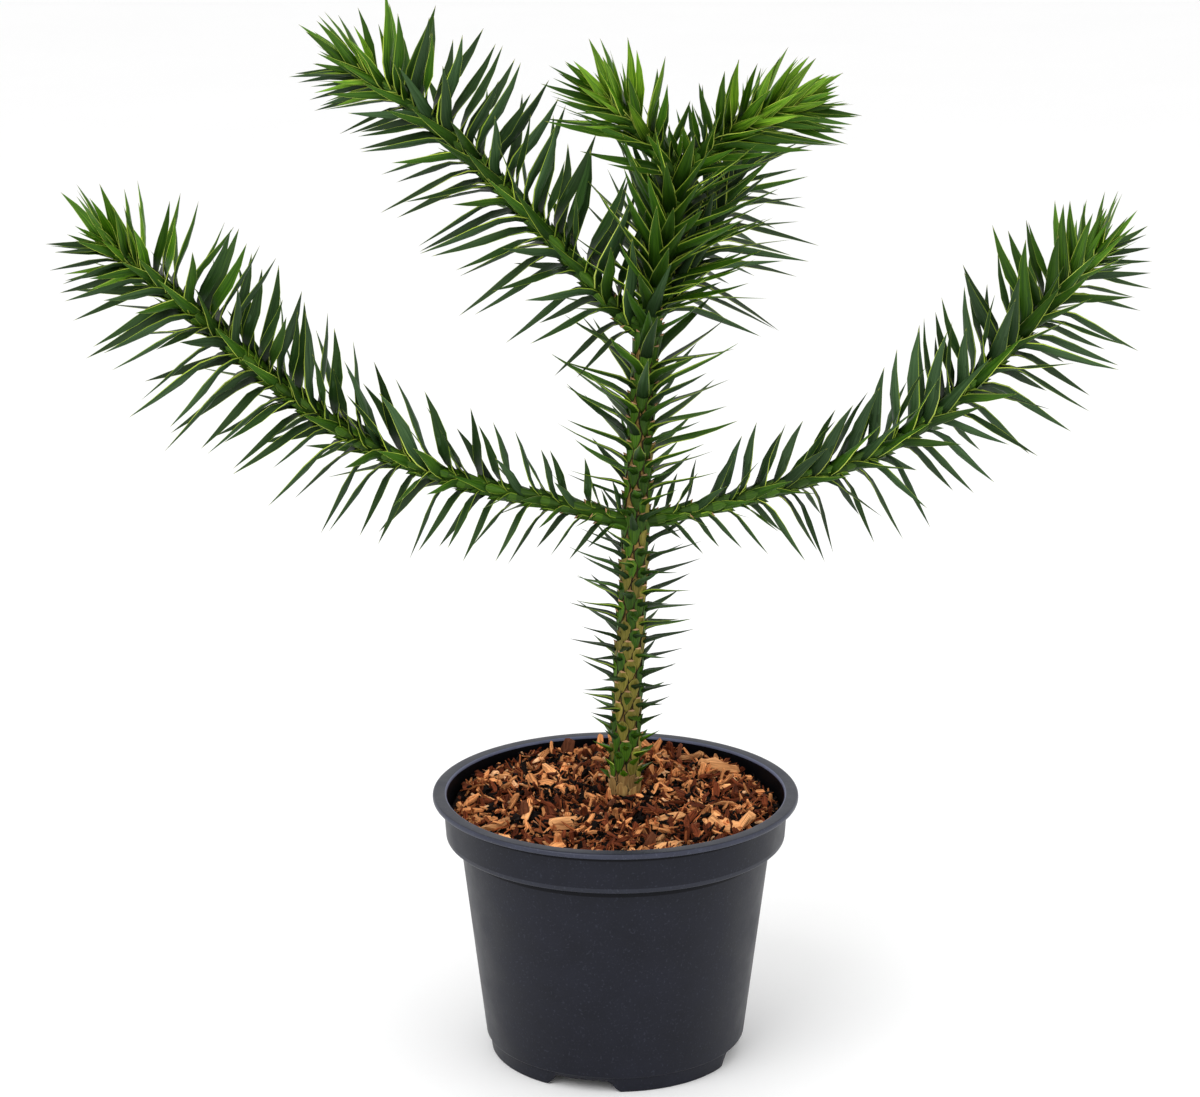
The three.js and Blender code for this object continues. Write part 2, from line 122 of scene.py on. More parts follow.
# Puts points, faces, finishes, a flat map and a draw for each point into a mesh that rides on the plant
def newPiece(name, shape, materials, replaced, finish=None, smooth=True, flatMap=None, draws=None):
    mesh = bpy.data.meshes.new(name)
    place = shape["points"] * mm + plantShift
    mesh.vertices.add(len(place))
    mesh.vertices.foreach_set("co", place.astype(np.float32).ravel())
    corners = np.concatenate([part.ravel() for part in shape["faces"]]).astype(np.int32)
    sides = np.concatenate([np.full(len(part), part.shape[1]) for part in shape["faces"]])
    starts = np.concatenate([[0], np.cumsum(sides)[:-1]])
    mesh.loops.add(len(corners))
    mesh.loops.foreach_set("vertex_index", corners)
    mesh.polygons.add(len(sides))
    mesh.polygons.foreach_set("loop_start", starts.astype(np.int32))
    mesh.polygons.foreach_set("use_smooth", np.full(len(sides), smooth))
    for material in materials:
        mesh.materials.append(material)
    if finish is not None:
        mesh.polygons.foreach_set("material_index", finish.astype(np.int32))
    if flatMap is not None:
        layer = mesh.uv_layers.new(name="growMap")
        layer.data.foreach_set("uv", flatMap[corners].astype(np.float32).ravel())
    if draws is not None:
        layer = mesh.attributes.new("growDraw", "FLOAT", "POINT")
        layer.data.foreach_set("value", draws.astype(np.float32))
    mesh.update(calc_edges=True)
    mesh.validate()
    piece = bpy.data.objects.new(name, mesh)
    bpy.context.scene.collection.objects.link(piece)
    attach(piece, "root")
    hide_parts(*replaced)
    return piece


# Finish tools

# Colour as seen on a screen, 0 to 255, turned by the usual screen curve into the light that a shader takes
def tone(red, green, blue):
    seen = np.array([red, green, blue]) / 255
    light = np.where(seen <= 0.04045, seen / 12.92, ((seen + 0.055) / 1.055) ** 2.4)
    return (*light.tolist(), 1.0)


# A node of one kind with its settings
def addNode(tree, kind, **settings):
    node = tree.nodes.new(kind)
    for key, value in settings.items():
        setattr(node, key, value)
    return node


# Joins an output to an input, or sets the input's own value
def feed(tree, node, socket, source):
    if isinstance(source, bpy.types.NodeSocket):
        tree.links.new(source, node.inputs[socket])
    else:
        node.inputs[socket].default_value = source


# Two values put through one operation
def mathNode(tree, operation, first, second):
    node = addNode(tree, "ShaderNodeMath", operation=operation)
    feed(tree, node, 0, first)
    feed(tree, node, 1, second)
    return node.outputs[0]


# A value carried in a straight line from one span to another and held at its ends
def spanNode(tree, value, fromLow, fromHigh, toLow, toHigh):
    node = addNode(tree, "ShaderNodeMapRange")
    for socket, source in enumerate((value, fromLow, fromHigh, toLow, toHigh)):
        feed(tree, node, socket, source)
    return node.outputs[0]


# First colour giving way to the second by a share
def mixNode(tree, share, first, second):
    node = addNode(tree, "ShaderNodeMix", data_type="RGBA")
    feed(tree, node, 0, share)
    feed(tree, node, 6, first)  # the two colour inputs and the colour output share names with others
    feed(tree, node, 7, second)
    return node.outputs[2]


# A vector times another, each way by its own share
def stretched(tree, vector, scale):
    node = addNode(tree, "ShaderNodeVectorMath", operation="MULTIPLY")
    feed(tree, node, 0, vector)
    feed(tree, node, 1, scale)
    return node.outputs[0]


# Noise over a vector, with a draw as its fourth way where one is given
def noiseNode(tree, vector, scale, detail, roughness, draw=None):
    node = addNode(tree, "ShaderNodeTexNoise", noise_dimensions="3D" if draw is None else "4D")
    feed(tree, node, "Vector", vector)
    feed(tree, node, "Scale", scale)
    feed(tree, node, "Detail", detail)
    feed(tree, node, "Roughness", roughness)
    if draw is not None:
        feed(tree, node, "W", draw)
    return node.outputs["Fac"]


colourSocket, valueSocket = "NodeSocketColor", "NodeSocketFloat"
surfaceOutputs = {"Color": colourSocket, "Roughness": valueSocket, "Height": valueSocket}


# An empty group with named inputs, colours where four numbers are given, that puts out what a surface needs
def newGroup(name, inputs):
    tree = bpy.data.node_groups.new(name, "ShaderNodeTree")
    for socket, value in inputs.items():
        kind = colourSocket if isinstance(value, tuple) else valueSocket
        made = tree.interface.new_socket(socket, in_out="INPUT", socket_type=kind)
        made.default_value = value
    for socket, kind in surfaceOutputs.items():
        tree.interface.new_socket(socket, in_out="OUTPUT", socket_type=kind)
    given = tree.nodes.new("NodeGroupInput").outputs
    result = tree.nodes.new("NodeGroupOutput")
    return tree, given, result


streakInputs = {
    "Tone": (0.1, 0.2, 0.1, 1), "Streak": (0.2, 0.3, 0.1, 1), "Foot Shade": (0.1, 0.3, 0.1, 1), "Foot Share": 0.0,
    "Streak Share": 0.5, "Across": 18.0, "Along": 1.2, "Cast": 0.15, "Low Rough": 0.35, "High Rough": 0.55,
}
# The draw's shift, the noise's detail and roughness, then the spans for the streaks, for the painted shade
# at a leaf's foot and for roughness
streakNoise = {"shift": 23.0, "detail": 3.0, "roughness": 0.6, "mask": (0.38, 0.68), "foot": (0.04, 0.42),
               "rough": (0.3, 0.7)}


# Lengthwise streaks on a leaf or a strip of bark: noise drawn out along the piece's own map and shifted by
# its draw. The foot has a darker tone of its own, used as painted shade where leaves crowd at their limb,
# and the draw also makes the whole lighter or darker
def streakGroup():
    tree, given, result = newGroup("lengthwiseStreaks", streakInputs)
    flatMap = addNode(tree, "ShaderNodeUVMap", uv_map="growMap").outputs[0]
    own = addNode(tree, "ShaderNodeAttribute", attribute_name="growDraw").outputs["Fac"]
    scale = addNode(tree, "ShaderNodeCombineXYZ")
    feed(tree, scale, 0, given["Across"])
    feed(tree, scale, 1, given["Along"])
    shifted = mathNode(tree, "MULTIPLY", own, streakNoise["shift"])
    drawnOut = stretched(tree, flatMap, scale.outputs[0])
    streak = noiseNode(tree, drawnOut, 1.0, streakNoise["detail"], streakNoise["roughness"], shifted)
    strong = spanNode(tree, streak, *streakNoise["mask"], 0.0, 1.0)
    mask = mathNode(tree, "MULTIPLY", strong, given["Streak Share"])
    lengthwise = addNode(tree, "ShaderNodeSeparateXYZ")
    feed(tree, lengthwise, 0, flatMap)
    # Painted shade at the leaf's foot, fading out along its first part
    near = spanNode(tree, lengthwise.outputs[1], *streakNoise["foot"], 1.0, 0.0)
    foot = mathNode(tree, "MULTIPLY", near, given["Foot Share"])
    streaked = mixNode(tree, mask, given["Tone"], given["Streak"])
    mixed = mixNode(tree, foot, streaked, given["Foot Shade"])
    cast = mathNode(tree, "ADD", mathNode(tree, "MULTIPLY", own, given["Cast"]), 1.0)
    shade = addNode(tree, "ShaderNodeVectorMath", operation="SCALE")
    feed(tree, shade, 0, mixed)
    feed(tree, shade, "Scale", cast)
    rough = spanNode(tree, streak, *streakNoise["rough"], given["Low Rough"], given["High Rough"])
    feed(tree, result, "Color", shade.outputs[0])
    feed(tree, result, "Roughness", rough)
    feed(tree, result, "Height", streak)
    return tree


grainInputs = {
    "Tone": (0.1, 0.1, 0.1, 1), "Cloud": (0.2, 0.2, 0.2, 1), "Speck": (0.4, 0.4, 0.4, 1),
    "Cloud Scale": 40.0, "Speck Scale": 900.0, "Speck Share": 0.3, "Low Rough": 0.4, "High Rough": 0.6,
}
# Detail and roughness of each noise, then the spans of noise that are spread from none to full
grainNoise = {"clouds": (4.0, 0.6), "specks": (2.0, 0.5), "cloud": (0.35, 0.7), "speck": (0.6, 0.72),
              "rough": (0.3, 0.7)}


# Grain of a cast or weathered surface: coarse clouds and fine specks in the object's own space
def grainGroup():
    tree, given, result = newGroup("weatheredGrain", grainInputs)
    space = addNode(tree, "ShaderNodeTexCoord").outputs["Object"]
    cloud = noiseNode(tree, space, given["Cloud Scale"], *grainNoise["clouds"])
    speck = noiseNode(tree, space, given["Speck Scale"], *grainNoise["specks"])
    cloudy = spanNode(tree, cloud, *grainNoise["cloud"], 0.0, 1.0)
    clouded = mixNode(tree, cloudy, given["Tone"], given["Cloud"])
    strong = spanNode(tree, speck, *grainNoise["speck"], 0.0, 1.0)
    specks = mathNode(tree, "MULTIPLY", strong, given["Speck Share"])
    rough = spanNode(tree, cloud, *grainNoise["rough"], given["Low Rough"], given["High Rough"])
    feed(tree, result, "Color", mixNode(tree, specks, clouded, given["Speck"]))
    feed(tree, result, "Roughness", rough)
    feed(tree, result, "Height", speck)
    return tree


streaks = streakGroup()
grain = grainGroup()


# A finish whose colour, roughness and relief come from one of the groups, with that group's own values
def newFinish(name, group, values, look):
    material = bpy.data.materials.new(name)
    material.use_nodes = True
    tree = material.node_tree
    shader = tree.nodes["Principled BSDF"]
    effect = addNode(tree, "ShaderNodeGroup", node_tree=group)
    for socket, value in values.items():
        effect.inputs[socket].default_value = value
    relief = addNode(tree, "ShaderNodeBump")
    relief.inputs["Strength"].default_value = look["bump"]
    relief.inputs["Distance"].default_value = look["depth"] * mm
    feed(tree, relief, "Height", effect.outputs["Height"])
    feed(tree, shader, "Base Color", effect.outputs["Color"])
    feed(tree, shader, "Roughness", effect.outputs["Roughness"])
    feed(tree, shader, "Normal", relief.outputs[0])
    shader.inputs["Specular IOR Level"].default_value = look["specular"]
    return material


# Streaked finish of a leaf, a scale, bark or a chip
def streakFinish(name, look):
    values = {"Tone": tone(*look["seen"]), "Streak": tone(*look["streak"]), "Streak Share": look["share"],
              "Across": look["across"], "Along": look["along"], "Cast": look["cast"],
              "Low Rough": look["rough"][0], "High Rough": look["rough"][1]}
    # Leaves also take painted shade at their foot
    if "foot" in look:
        values.update({"Foot Shade": tone(*look["footShadeSeen"]), "Foot Share": look["foot"]})
    return newFinish(name, streaks, values, look)


# Grained finish of the pot, the mulch's bed or the floor
def grainFinish(name, look):
    values = {"Tone": tone(*look["seen"]), "Cloud": tone(*look["cloud"]), "Speck": tone(*look["speck"]),
              "Cloud Scale": look["cloudScale"], "Speck Scale": look["speckScale"],
              "Speck Share": look["speckShare"],
              "Low Rough": look["rough"][0], "High Rough": look["rough"][1]}
    return newFinish(name, grain, values, look)


print("finish groups:", len(bpy.data.node_groups))


# Pot: a moulded shell turned from its profile, with a foot ring cut by gaps. The plastic has painted shade
# under the lip and the band, in the two drops that each of them has, and painted highlights and sheen on the
# rim and the band's foot
pot = {
    "height": 126, "rim": 85, "lip": 2.6, "bandTop": 80.2, "bandFoot": 78.9, "bandHeight": 105,
    "bodyTop": 72.6, "bodyFoot": 60.8, "footHeight": 7.7, "footTop": 59.2, "foot": 58.4, "footWidth": 3,
    "wall": 1.6, "floor": 6.7, "floorThick": 2, "around": 180,
    "gaps": 4, "gapBearing": -15.5, "gapFoot": 34, "gapTop": 25, "gapHeight": 5.6,
    "drain": 5, "drainReach": 40, "drainSides": 24, "plugReach": 4,
    # Painted light on the pot: the drops of the painted shade under the lip and the band, the height of the
    # painted highlight at the band's foot, the width of the painted highlights on the rim, and the height
    # above the floor where the painted shade inside begins
    "lipShade": (2.6, 1.2), "bandShade": (4.2, 1.5), "bandHighlightHeight": 2.4, "bandDepth": 1,
    "lipStart": 0.2, "highlightWidth": 0.7, "mouthDepth": 1, "floorShade": 4,
    "rounds": {"footIn": 0.3, "foot": 0.6, "footTop": 0.5, "bodyFoot": 0.9, "bodyTop": 0.6, "bandFoot": 1.2,
               "bandTop": 0.5, "rimFoot": 1.1, "rim": 1.4, "mouth": 1.2, "ledge": 1.4, "ledgeIn": 1,
               "floor": 1.5},
}
potLook = {"cloudScale": 55.0, "speckScale": 900.0, "speckShare": 0.2, "rough": (0.36, 0.5), "bump": 0.14,
           "depth": 0.18}
# Body plastic, then painted light: a painted highlight on the lip's outer edge, painted deep shade, painted
# shade, a painted highlight at the band's foot, a painted sheen on the rim's top and a painted highlight
# along the mouth
potKinds = {
    "potPlastic": {"seen": (17, 19, 29), "cloud": (23, 25, 36), "speck": (70, 74, 88), "specular": 0.18},
    "potLipHighlight": {"seen": (33, 37, 54), "cloud": (44, 48, 66), "speck": (100, 104, 122), "specular": 0.4},
    "potDeepShade": {"seen": (5, 5, 8), "cloud": (8, 8, 11), "speck": (30, 30, 35), "specular": 0.05},
    "potShade": {"seen": (11, 12, 18), "cloud": (15, 16, 22), "speck": (50, 52, 62), "specular": 0.1},
    "potBandHighlight": {"seen": (23, 26, 38), "cloud": (30, 33, 46), "speck": (80, 84, 98), "specular": 0.3},
    "potRimSheen": {"seen": (21, 24, 37), "cloud": (29, 32, 46), "speck": (84, 88, 104), "specular": 0.3},
    "potMouthHighlight": {"seen": (64, 70, 96), "cloud": (80, 86, 112), "speck": (124, 130, 150), "specular": 0.5},
}
potFinishes = [grainFinish(name, {**potLook, **kind}) for name, kind in potKinds.items()]
potPlastic, potLipHighlight, potDeepShade, potShade, potBandHighlight, potRimSheen, potMouthHighlight = range(len(potKinds))

arcSteps, longestArc = 6, 0.48  # points on a rounded corner, and the most of an edge that it may take


# Profile with its corners rounded: each corner gives way to a quadratic arc that starts and ends its radius
# away from it
def roundedProfile(corners):
    points = np.array([corner[:2] for corner in corners], float)
    line = [points[:1]]
    share = np.linspace(0, 1, arcSteps)[:, None]
    for index in range(1, len(points) - 1):
        before, at, after = points[index - 1:index + 2]
        radius = corners[index][2]
        if radius == 0:
            line.append(at[None])
            continue
        entry = at + (before - at) * min(longestArc, radius / np.linalg.norm(before - at))
        leave = at + (after - at) * min(longestArc, radius / np.linalg.norm(after - at))
        line.append(entry * (1 - share) ** 2 + at * 2 * share * (1 - share) + leave * share ** 2)
    line.append(points[-1:])
    return np.vstack(line)


# Radius of the pot's body at a height, straight from its foot to its top
def potOutside(height):
    slope = (pot["bodyTop"] - pot["bodyFoot"]) / (pot["bandHeight"] - pot["footHeight"])
    return pot["bodyFoot"] + slope * (height - pot["footHeight"])


# Profile of the pot from the middle of its underside round the foot, body, band and lip to the middle of
# its floor. Each corner has its radius, its height and its rounding
def potProfile():
    rounds = pot["rounds"]
    bandHeight = pot["bandHeight"]
    lipFoot = pot["height"] - pot["lip"]
    floorTop = pot["floor"] + pot["floorThick"]
    ledge = bandHeight + pot["wall"]
    footInside = pot["foot"] - pot["footWidth"]
    # Extra profile points where the painted shade under the band and the lip and the painted highlight at
    # the band's foot begin
    bodyBreaks = [bandHeight - drop for drop in pot["bandShade"]]
    bandBreaks = [bandHeight + pot["bandHighlightHeight"], *[lipFoot - drop for drop in pot["lipShade"]]]
    bandRadii = np.interp(bandBreaks, [bandHeight, lipFoot], [pot["bandFoot"], pot["bandTop"]])
    return roundedProfile([
        (0, pot["floor"], 0),
        (footInside, pot["floor"], 0),
        (footInside, 0, rounds["footIn"]),
        (pot["foot"], 0, rounds["foot"]),
        (pot["footTop"], pot["footHeight"], rounds["footTop"]),
        (pot["bodyFoot"], pot["footHeight"], rounds["bodyFoot"]),
        *[(potOutside(height), height, 0) for height in bodyBreaks],
        (pot["bodyTop"], bandHeight, rounds["bodyTop"]),
        (pot["bandFoot"], bandHeight, rounds["bandFoot"]),
        *[(radius, height, 0) for radius, height in zip(bandRadii, bandBreaks)],
        (pot["bandTop"], lipFoot, rounds["bandTop"]),
        (pot["rim"], lipFoot, rounds["rimFoot"]),
        (pot["rim"], pot["height"], rounds["rim"]),
        (pot["bandTop"] - pot["wall"], pot["height"], rounds["mouth"]),
        (pot["bandFoot"] - pot["wall"], ledge, rounds["ledge"]),
        (potOutside(ledge) - pot["wall"], ledge, rounds["ledgeIn"]),
        (potOutside(floorTop) - pot["wall"], floorTop, rounds["floor"]),
        (0, floorTop, 0),
    ])


# Profile carried round the axis: the ring at each profile point is a circle, and the foot rises over each
# gap
def potShape():
    profile = potProfile()
    turn = np.linspace(0, 2 * np.pi, pot["around"], endpoint=False)
    radius = profile[1:-1, 0][:, None]
    height = profile[1:-1, 1][:, None]
    bearing = np.degrees(turn) + 90 - pot["gapBearing"]  # from the front towards the right
    step = 360 / pot["gaps"]
    away = np.abs((bearing + step / 2) % step - step / 2)
    rise = (pot["gapFoot"] / 2 - away) / ((pot["gapFoot"] - pot["gapTop"]) / 2)
    lifted = np.maximum(height, pot["gapHeight"] * np.clip(rise, 0, 1)[None])
    low = np.where(height < pot["gapHeight"], lifted, height)
    rings = np.stack([radius * np.cos(turn), radius * np.sin(turn), low], axis=-1)[None]
    bottom = np.array([[0, 0, profile[0, 1]]])
    top = np.array([[0, 0, profile[-1, 1]]])
    return ringBodies(rings, bottom, top)


# Finish of each ring of the pot by its place on the profile: painted highlights on the lip's outer edge, the
# mouth and the band's foot, a painted sheen on the rim's top, painted shade under the lip and the band, and
# painted shade inside
def potTone(shape):
    profile = potProfile()
    radius, height = ((profile[1:-2] + profile[2:-1]) / 2).T
    lipFoot, bandHeight = pot["height"] - pot["lip"], pot["bandHeight"]
    order = np.arange(len(height))
    inside = order > np.nonzero(height > pot["height"] - pot["mouthDepth"])[0].max()
    onBand = (height > bandHeight) & (height < lipFoot) & (radius > pot["bandFoot"] - pot["bandDepth"])
    band = ~inside & onBand
    body = ~inside & (height < bandHeight) & (height > pot["footHeight"])
    lip = ~inside & (height > lipFoot + pot["lipStart"])
    finish = np.full(len(height), potPlastic)
    # Painted highlight on the lip's outer edge, and a painted sheen over the rest of the rim's top
    finish[lip] = np.where(radius[lip] > pot["rim"] - pot["highlightWidth"], potLipHighlight, potRimSheen)
    # Painted highlight along the mouth's edge
    finish[lip & (radius < pot["bandTop"] - pot["wall"] + pot["highlightWidth"])] = potMouthHighlight
    # Painted highlight along the band's foot
    finish[band & (height < bandHeight + pot["bandHighlightHeight"])] = potBandHighlight
    # Painted shade under the lip, darkest nearest it
    for drop, shade in zip(pot["lipShade"], (potShade, potDeepShade)):
        finish[band & (height > lipFoot - drop)] = shade
    # Painted shade on the body under the band, darkest nearest it
    for drop, shade in zip(pot["bandShade"], (potShade, potDeepShade)):
        finish[body & (height > bandHeight - drop)] = shade
    # Painted shade on the inside wall above the floor
    finish[inside & (height > pot["floor"] + pot["floorShade"])] = potDeepShade
    return finish[np.clip(shape["row"], 0, len(finish) - 1)]


# Plug for a drain hole: a round drum that stands out above and below the floor at its bearing
def drainPlug(bearing):
    turn = np.linspace(0, 2 * np.pi, pot["drainSides"], endpoint=False)
    reach = np.array([math.sin(bearing), -math.cos(bearing)]) * pot["drainReach"]
    ring = reach + pot["drain"] * np.stack([np.cos(turn), np.sin(turn)], axis=-1)
    levels = (pot["floor"] - pot["plugReach"], pot["floor"] + pot["floorThick"] + pot["plugReach"])
    rings = np.stack([np.column_stack([ring, np.full(len(ring), level)]) for level in levels])[None]
    return ringBodies(rings)


# Cuts one drain hole into the pot
def cutDrain(piece, bearing):
    plug = drainPlug(bearing)
    faces = [face.tolist() for part in plug["faces"] for face in part]
    cutter = bpy.data.meshes.new("drainCutter")
    cutter.from_pydata((plug["points"] * mm + plantShift).tolist(), [], faces)
    tool = bpy.data.objects.new("drainCutter", cutter)
    bpy.context.scene.collection.objects.link(tool)
    hole = piece.modifiers.new("drain", "BOOLEAN")
    hole.operation = "DIFFERENCE"
    hole.solver = "EXACT"
    hole.object = tool
    bpy.context.view_layer.objects.active = piece
    bpy.ops.object.modifier_apply(modifier=hole.name)
    bpy.data.objects.remove(tool)
    bpy.data.meshes.remove(cutter)


# The shell with its holes, one in line with each gap of the foot
def buildPot():
    shape = potShape()
    piece = newPiece("pot_shell", shape, potFinishes, ["pot"], potTone(shape))
    for index in range(pot["gaps"]):
        cutDrain(piece, math.radians(pot["gapBearing"] + index * 360 / pot["gaps"]))
    print("pot:", len(piece.data.polygons), "faces")


buildPot()


# Bark mulch: a near-black bed with loose chips and flakes strewn on it; the bed stands for dark soil and for
# painted shade in the gaps between the chips. Each lump has its height, then how it is stretched and shifted
# across and back
mulch = {
    "gap": 0.45, "edge": 117, "mound": 4, "backRise": 5.2, "bedDrop": 2.2, "lift": 0.3,
    "rings": 34, "innermost": 0.02, "around": 120,
    "lumps": [(0.9, 9, 0, 11, math.pi / 2), (0.8, 5.3, 1, 6.1, 2)],
    "crumbs": [(0.35, 0.5, 1.2, 0)] * 3, "crumbSeed": 5, "crumbsBack": 0.7,
    # The bed's near-black colour: dark soil with painted shade for the gaps between the chips
    "look": {"seen": (11, 6, 4), "cloud": (24, 13, 9), "speck": (60, 35, 22), "cloudScale": 260.0,
             "speckScale": 900.0, "speckShare": 0.5, "rough": (0.8, 1.0), "bump": 0.9, "depth": 1.5,
             "specular": 0.2},
}
chip = {
    "rows": 4, "columns": 6, "shortBias": 1.7, "wallGap": 0.6, "endRoom": 0.54,
    "seat": (4.6, 10.0), "stemClear": 7.5, "pushed": 2.4, "widths": (0.6, 1.5), "thickness": (0.3, 0.75),
    "roll": 0.6, "sunk": 0.6, "heights": (-1.6, 1.8), "lastStation": 0.42, "taper": 0.45,
    "ragged": (0.5, 1.35), "curl": 0.8, "curlDrop": 0.06, "wander": 0.07,
    "look": {"share": 0.85, "across": 8.0, "along": 1.6, "cast": 0.4, "rough": (0.7, 0.95), "bump": 0.8,
             "depth": 0.6, "specular": 0.12},
}
chipKinds = {
    "mulch_crumbs": {"count": 1500, "seed": 61, "lengths": (2.5, 7), "slim": 0.45, "tilt": 0.7, "lean": 0,
                     "seen": (15, 6, 4), "streak": (5, 2, 1)},
    "mulch_brown": {"count": 1060, "seed": 62, "lengths": (3.5, 13), "slim": 0.28, "tilt": 0.65, "lean": 0,
                    "seen": (120, 58, 31), "streak": (24, 10, 6)},
    "mulch_amber": {"count": 600, "seed": 63, "lengths": (3.5, 15), "slim": 0.28, "tilt": 0.6, "lean": 0,
                    "seen": (250, 170, 106), "streak": (84, 40, 22)},
    "mulch_tan": {"count": 150, "seed": 64, "lengths": (3, 8), "slim": 0.32, "tilt": 0.5, "lean": 0,
                  "seen": (250, 200, 150), "streak": (166, 104, 62)},
    "mulch_flakes": {"count": 38, "seed": 68, "lengths": (10, 25), "slim": 0.34, "tilt": 0.2, "lean": 0,
                     "seen": (250, 182, 120), "streak": (126, 72, 42)},
    "mulch_fibres": {"count": 1100, "seed": 65, "lengths": (3, 12), "slim": 0.12, "tilt": 0.6, "lean": 0,
                     "seen": (188, 108, 62), "streak": (58, 28, 16)},
    "mulch_uprights": {"count": 9, "seed": 67, "lengths": (13, 17), "slim": 0.42, "tilt": 0.12, "lean": 1.2,
                       "seen": (124, 72, 46), "streak": (66, 36, 24)},
}


# Height of the mulch: a low mound that falls off with the square of the distance, rises to the back and
# has lumps
def mulchHeight(x, y):
    edge = pot["bandFoot"] - pot["wall"] - mulch["gap"]
    share = np.clip(np.hypot(x, y) / edge, 0, 1)
    lumps = sum(height * np.sin(x / across + right) * np.sin(y / deep + back)
                for height, across, right, deep, back in mulch["lumps"])
    return mulch["edge"] + mulch["mound"] * (1 - share ** 2) + mulch["backRise"] * y / edge + lumps


# Bed of the mulch: rings round the axis that stand off the pot's wall and ledge, then close over the mound,
# which is ruffled by sine waves
def mulchBed():
    standOff = pot["wall"] + mulch["gap"]
    floorTop = pot["floor"] + pot["floorThick"] + mulch["lift"]
    ledge = pot["bandHeight"] + pot["wall"] + mulch["lift"]
    edge = pot["bandFoot"] - standOff
    turn = np.linspace(0, 2 * np.pi, mulch["around"], endpoint=False)
    inward = np.linspace(1, mulch["innermost"], mulch["rings"])
    wall = [potOutside(height) - standOff for height in (floorTop, ledge)]
    radius = np.concatenate([[*wall, edge], edge * inward])[:, None]
    x, y = radius * np.cos(turn), radius * np.sin(turn)
    rough = ripples(x, y * 0, mulch["crumbs"], mulch["crumbSeed"]) * np.sin(y * mulch["crumbsBack"])
    height = mulchHeight(x, y) - mulch["bedDrop"] + rough
    height[:3] = np.array([floorTop, ledge, ledge])[:, None]  # the rings below the mound
    rings = np.stack([x, y, height], axis=-1)[None]
    bottom = np.array([[0, 0, floorTop]])
    top = np.array([[0, 0, mulchHeight(0, 0) - mulch["bedDrop"]]])
    return ringBodies(rings, bottom, top)


# Chips: flat splinters with ragged edges, each a run of uneven rings along its length, laid on the mound.
# A chip that would lie in the stem is pushed away from it
def mulchChips(kind):
    draw = np.random.default_rng(kind["seed"])
    count, rows, columns = kind["count"], chip["rows"], chip["columns"]
    shortest, longest = kind["lengths"]
    length = shortest + (longest - shortest) * draw.uniform(0, 1, count) ** chip["shortBias"]
    wall = pot["bandFoot"] - pot["wall"] - chip["wallGap"]
    reach = np.minimum(wall * np.sqrt(draw.uniform(0, 1, count)), wall - chip["endRoom"] * length)
    bearing = draw.uniform(0, 2 * np.pi, count)
    spot = np.stack([reach * np.cos(bearing), reach * np.sin(bearing)], axis=-1)
    seat = np.array(chip["seat"])
    inStem = np.hypot(*(spot - seat).T) < chip["stemClear"]
    x, y = np.where(inStem[:, None], seat + (spot - seat) * chip["pushed"], spot).T
    width = length * kind["slim"] * draw.uniform(*chip["widths"], count)
    thick = width * draw.uniform(*chip["thickness"], count)
    yaw = draw.uniform(0, 2 * np.pi, count)
    tilt = draw.normal(kind["lean"], kind["tilt"], count)
    roll = draw.normal(0, chip["roll"], count)
    ahead = np.stack([np.cos(yaw) * np.cos(tilt), np.sin(yaw) * np.cos(tilt), np.sin(tilt)], axis=-1)
    level = np.stack([-np.sin(yaw), np.cos(yaw), np.zeros(count)], axis=-1)
    rise = np.cross(ahead, level)
    across = level * np.cos(roll)[:, None] + rise * np.sin(roll)[:, None]
    over = np.cross(ahead, across)
    height = mulchHeight(x, y) - chip["sunk"] + draw.uniform(*chip["heights"], count)
    place = np.stack([x, y, height], axis=-1)
    stations = np.linspace(-chip["lastStation"], chip["lastStation"], rows)
    swell = 1 - chip["taper"] * (stations / 0.5) ** 2
    turn = np.linspace(0, 2 * np.pi, columns, endpoint=False)
    ragged = draw.uniform(*chip["ragged"], (count, rows, columns))
    bow = stations ** 2 - chip["curlDrop"]
    curl = draw.normal(0, chip["curl"], count)[:, None] * length[:, None] * bow
    sideways = (ragged * np.cos(turn)) * (swell[:, None] * width[:, None, None] / 2)
    upward = (ragged * np.sin(turn)) * (swell[:, None] * thick[:, None, None] / 2) + curl[..., None]
    wander = draw.uniform(-chip["wander"], chip["wander"], (count, rows, columns))
    lengthwise = (stations[:, None] + wander) * length[:, None, None]
    rings = (place[:, None, None] + ahead[:, None, None] * lengthwise[..., None]
             + across[:, None, None] * sideways[..., None] + over[:, None, None] * upward[..., None])
    lifted = over * curl[:, 0][:, None]
    ends = [place + ahead * (sign * length / 2)[:, None] + lifted for sign in (-1, 1)]
    shape = ringBodies(rings, *ends)
    pairs = np.stack(np.broadcast_arrays(np.abs(turn / np.pi - 1), (stations + 0.5)[:, None]), axis=-1)
    flatMap = ringValues(np.broadcast_to(pairs, (count, rows, columns, 2)), (0.5, 0), (0.5, 1))
    draws = np.repeat(draw.uniform(-1, 1, count), shape["each"])
    return shape, flatMap, draws


# The bed and each kind of chip, a piece for each
def buildMulch():
    bedFinish = grainFinish("mulchBed", mulch["look"])
    newPiece("mulch_bed", mulchBed(), [bedFinish], ["bark_mulch"])
    for name, kind in chipKinds.items():
        finish = streakFinish(name, {**chip["look"], **kind})
        shape, flatMap, draws = mulchChips(kind)
        newPiece(name, shape, [finish], ["bark_mulch"], None, False, flatMap, draws)
    print("mulch:", sum(kind["count"] for kind in chipKinds.values()), "chips")


buildMulch()


# Limbs: the stem and the shoots that leave it, each an axis that turns along its length

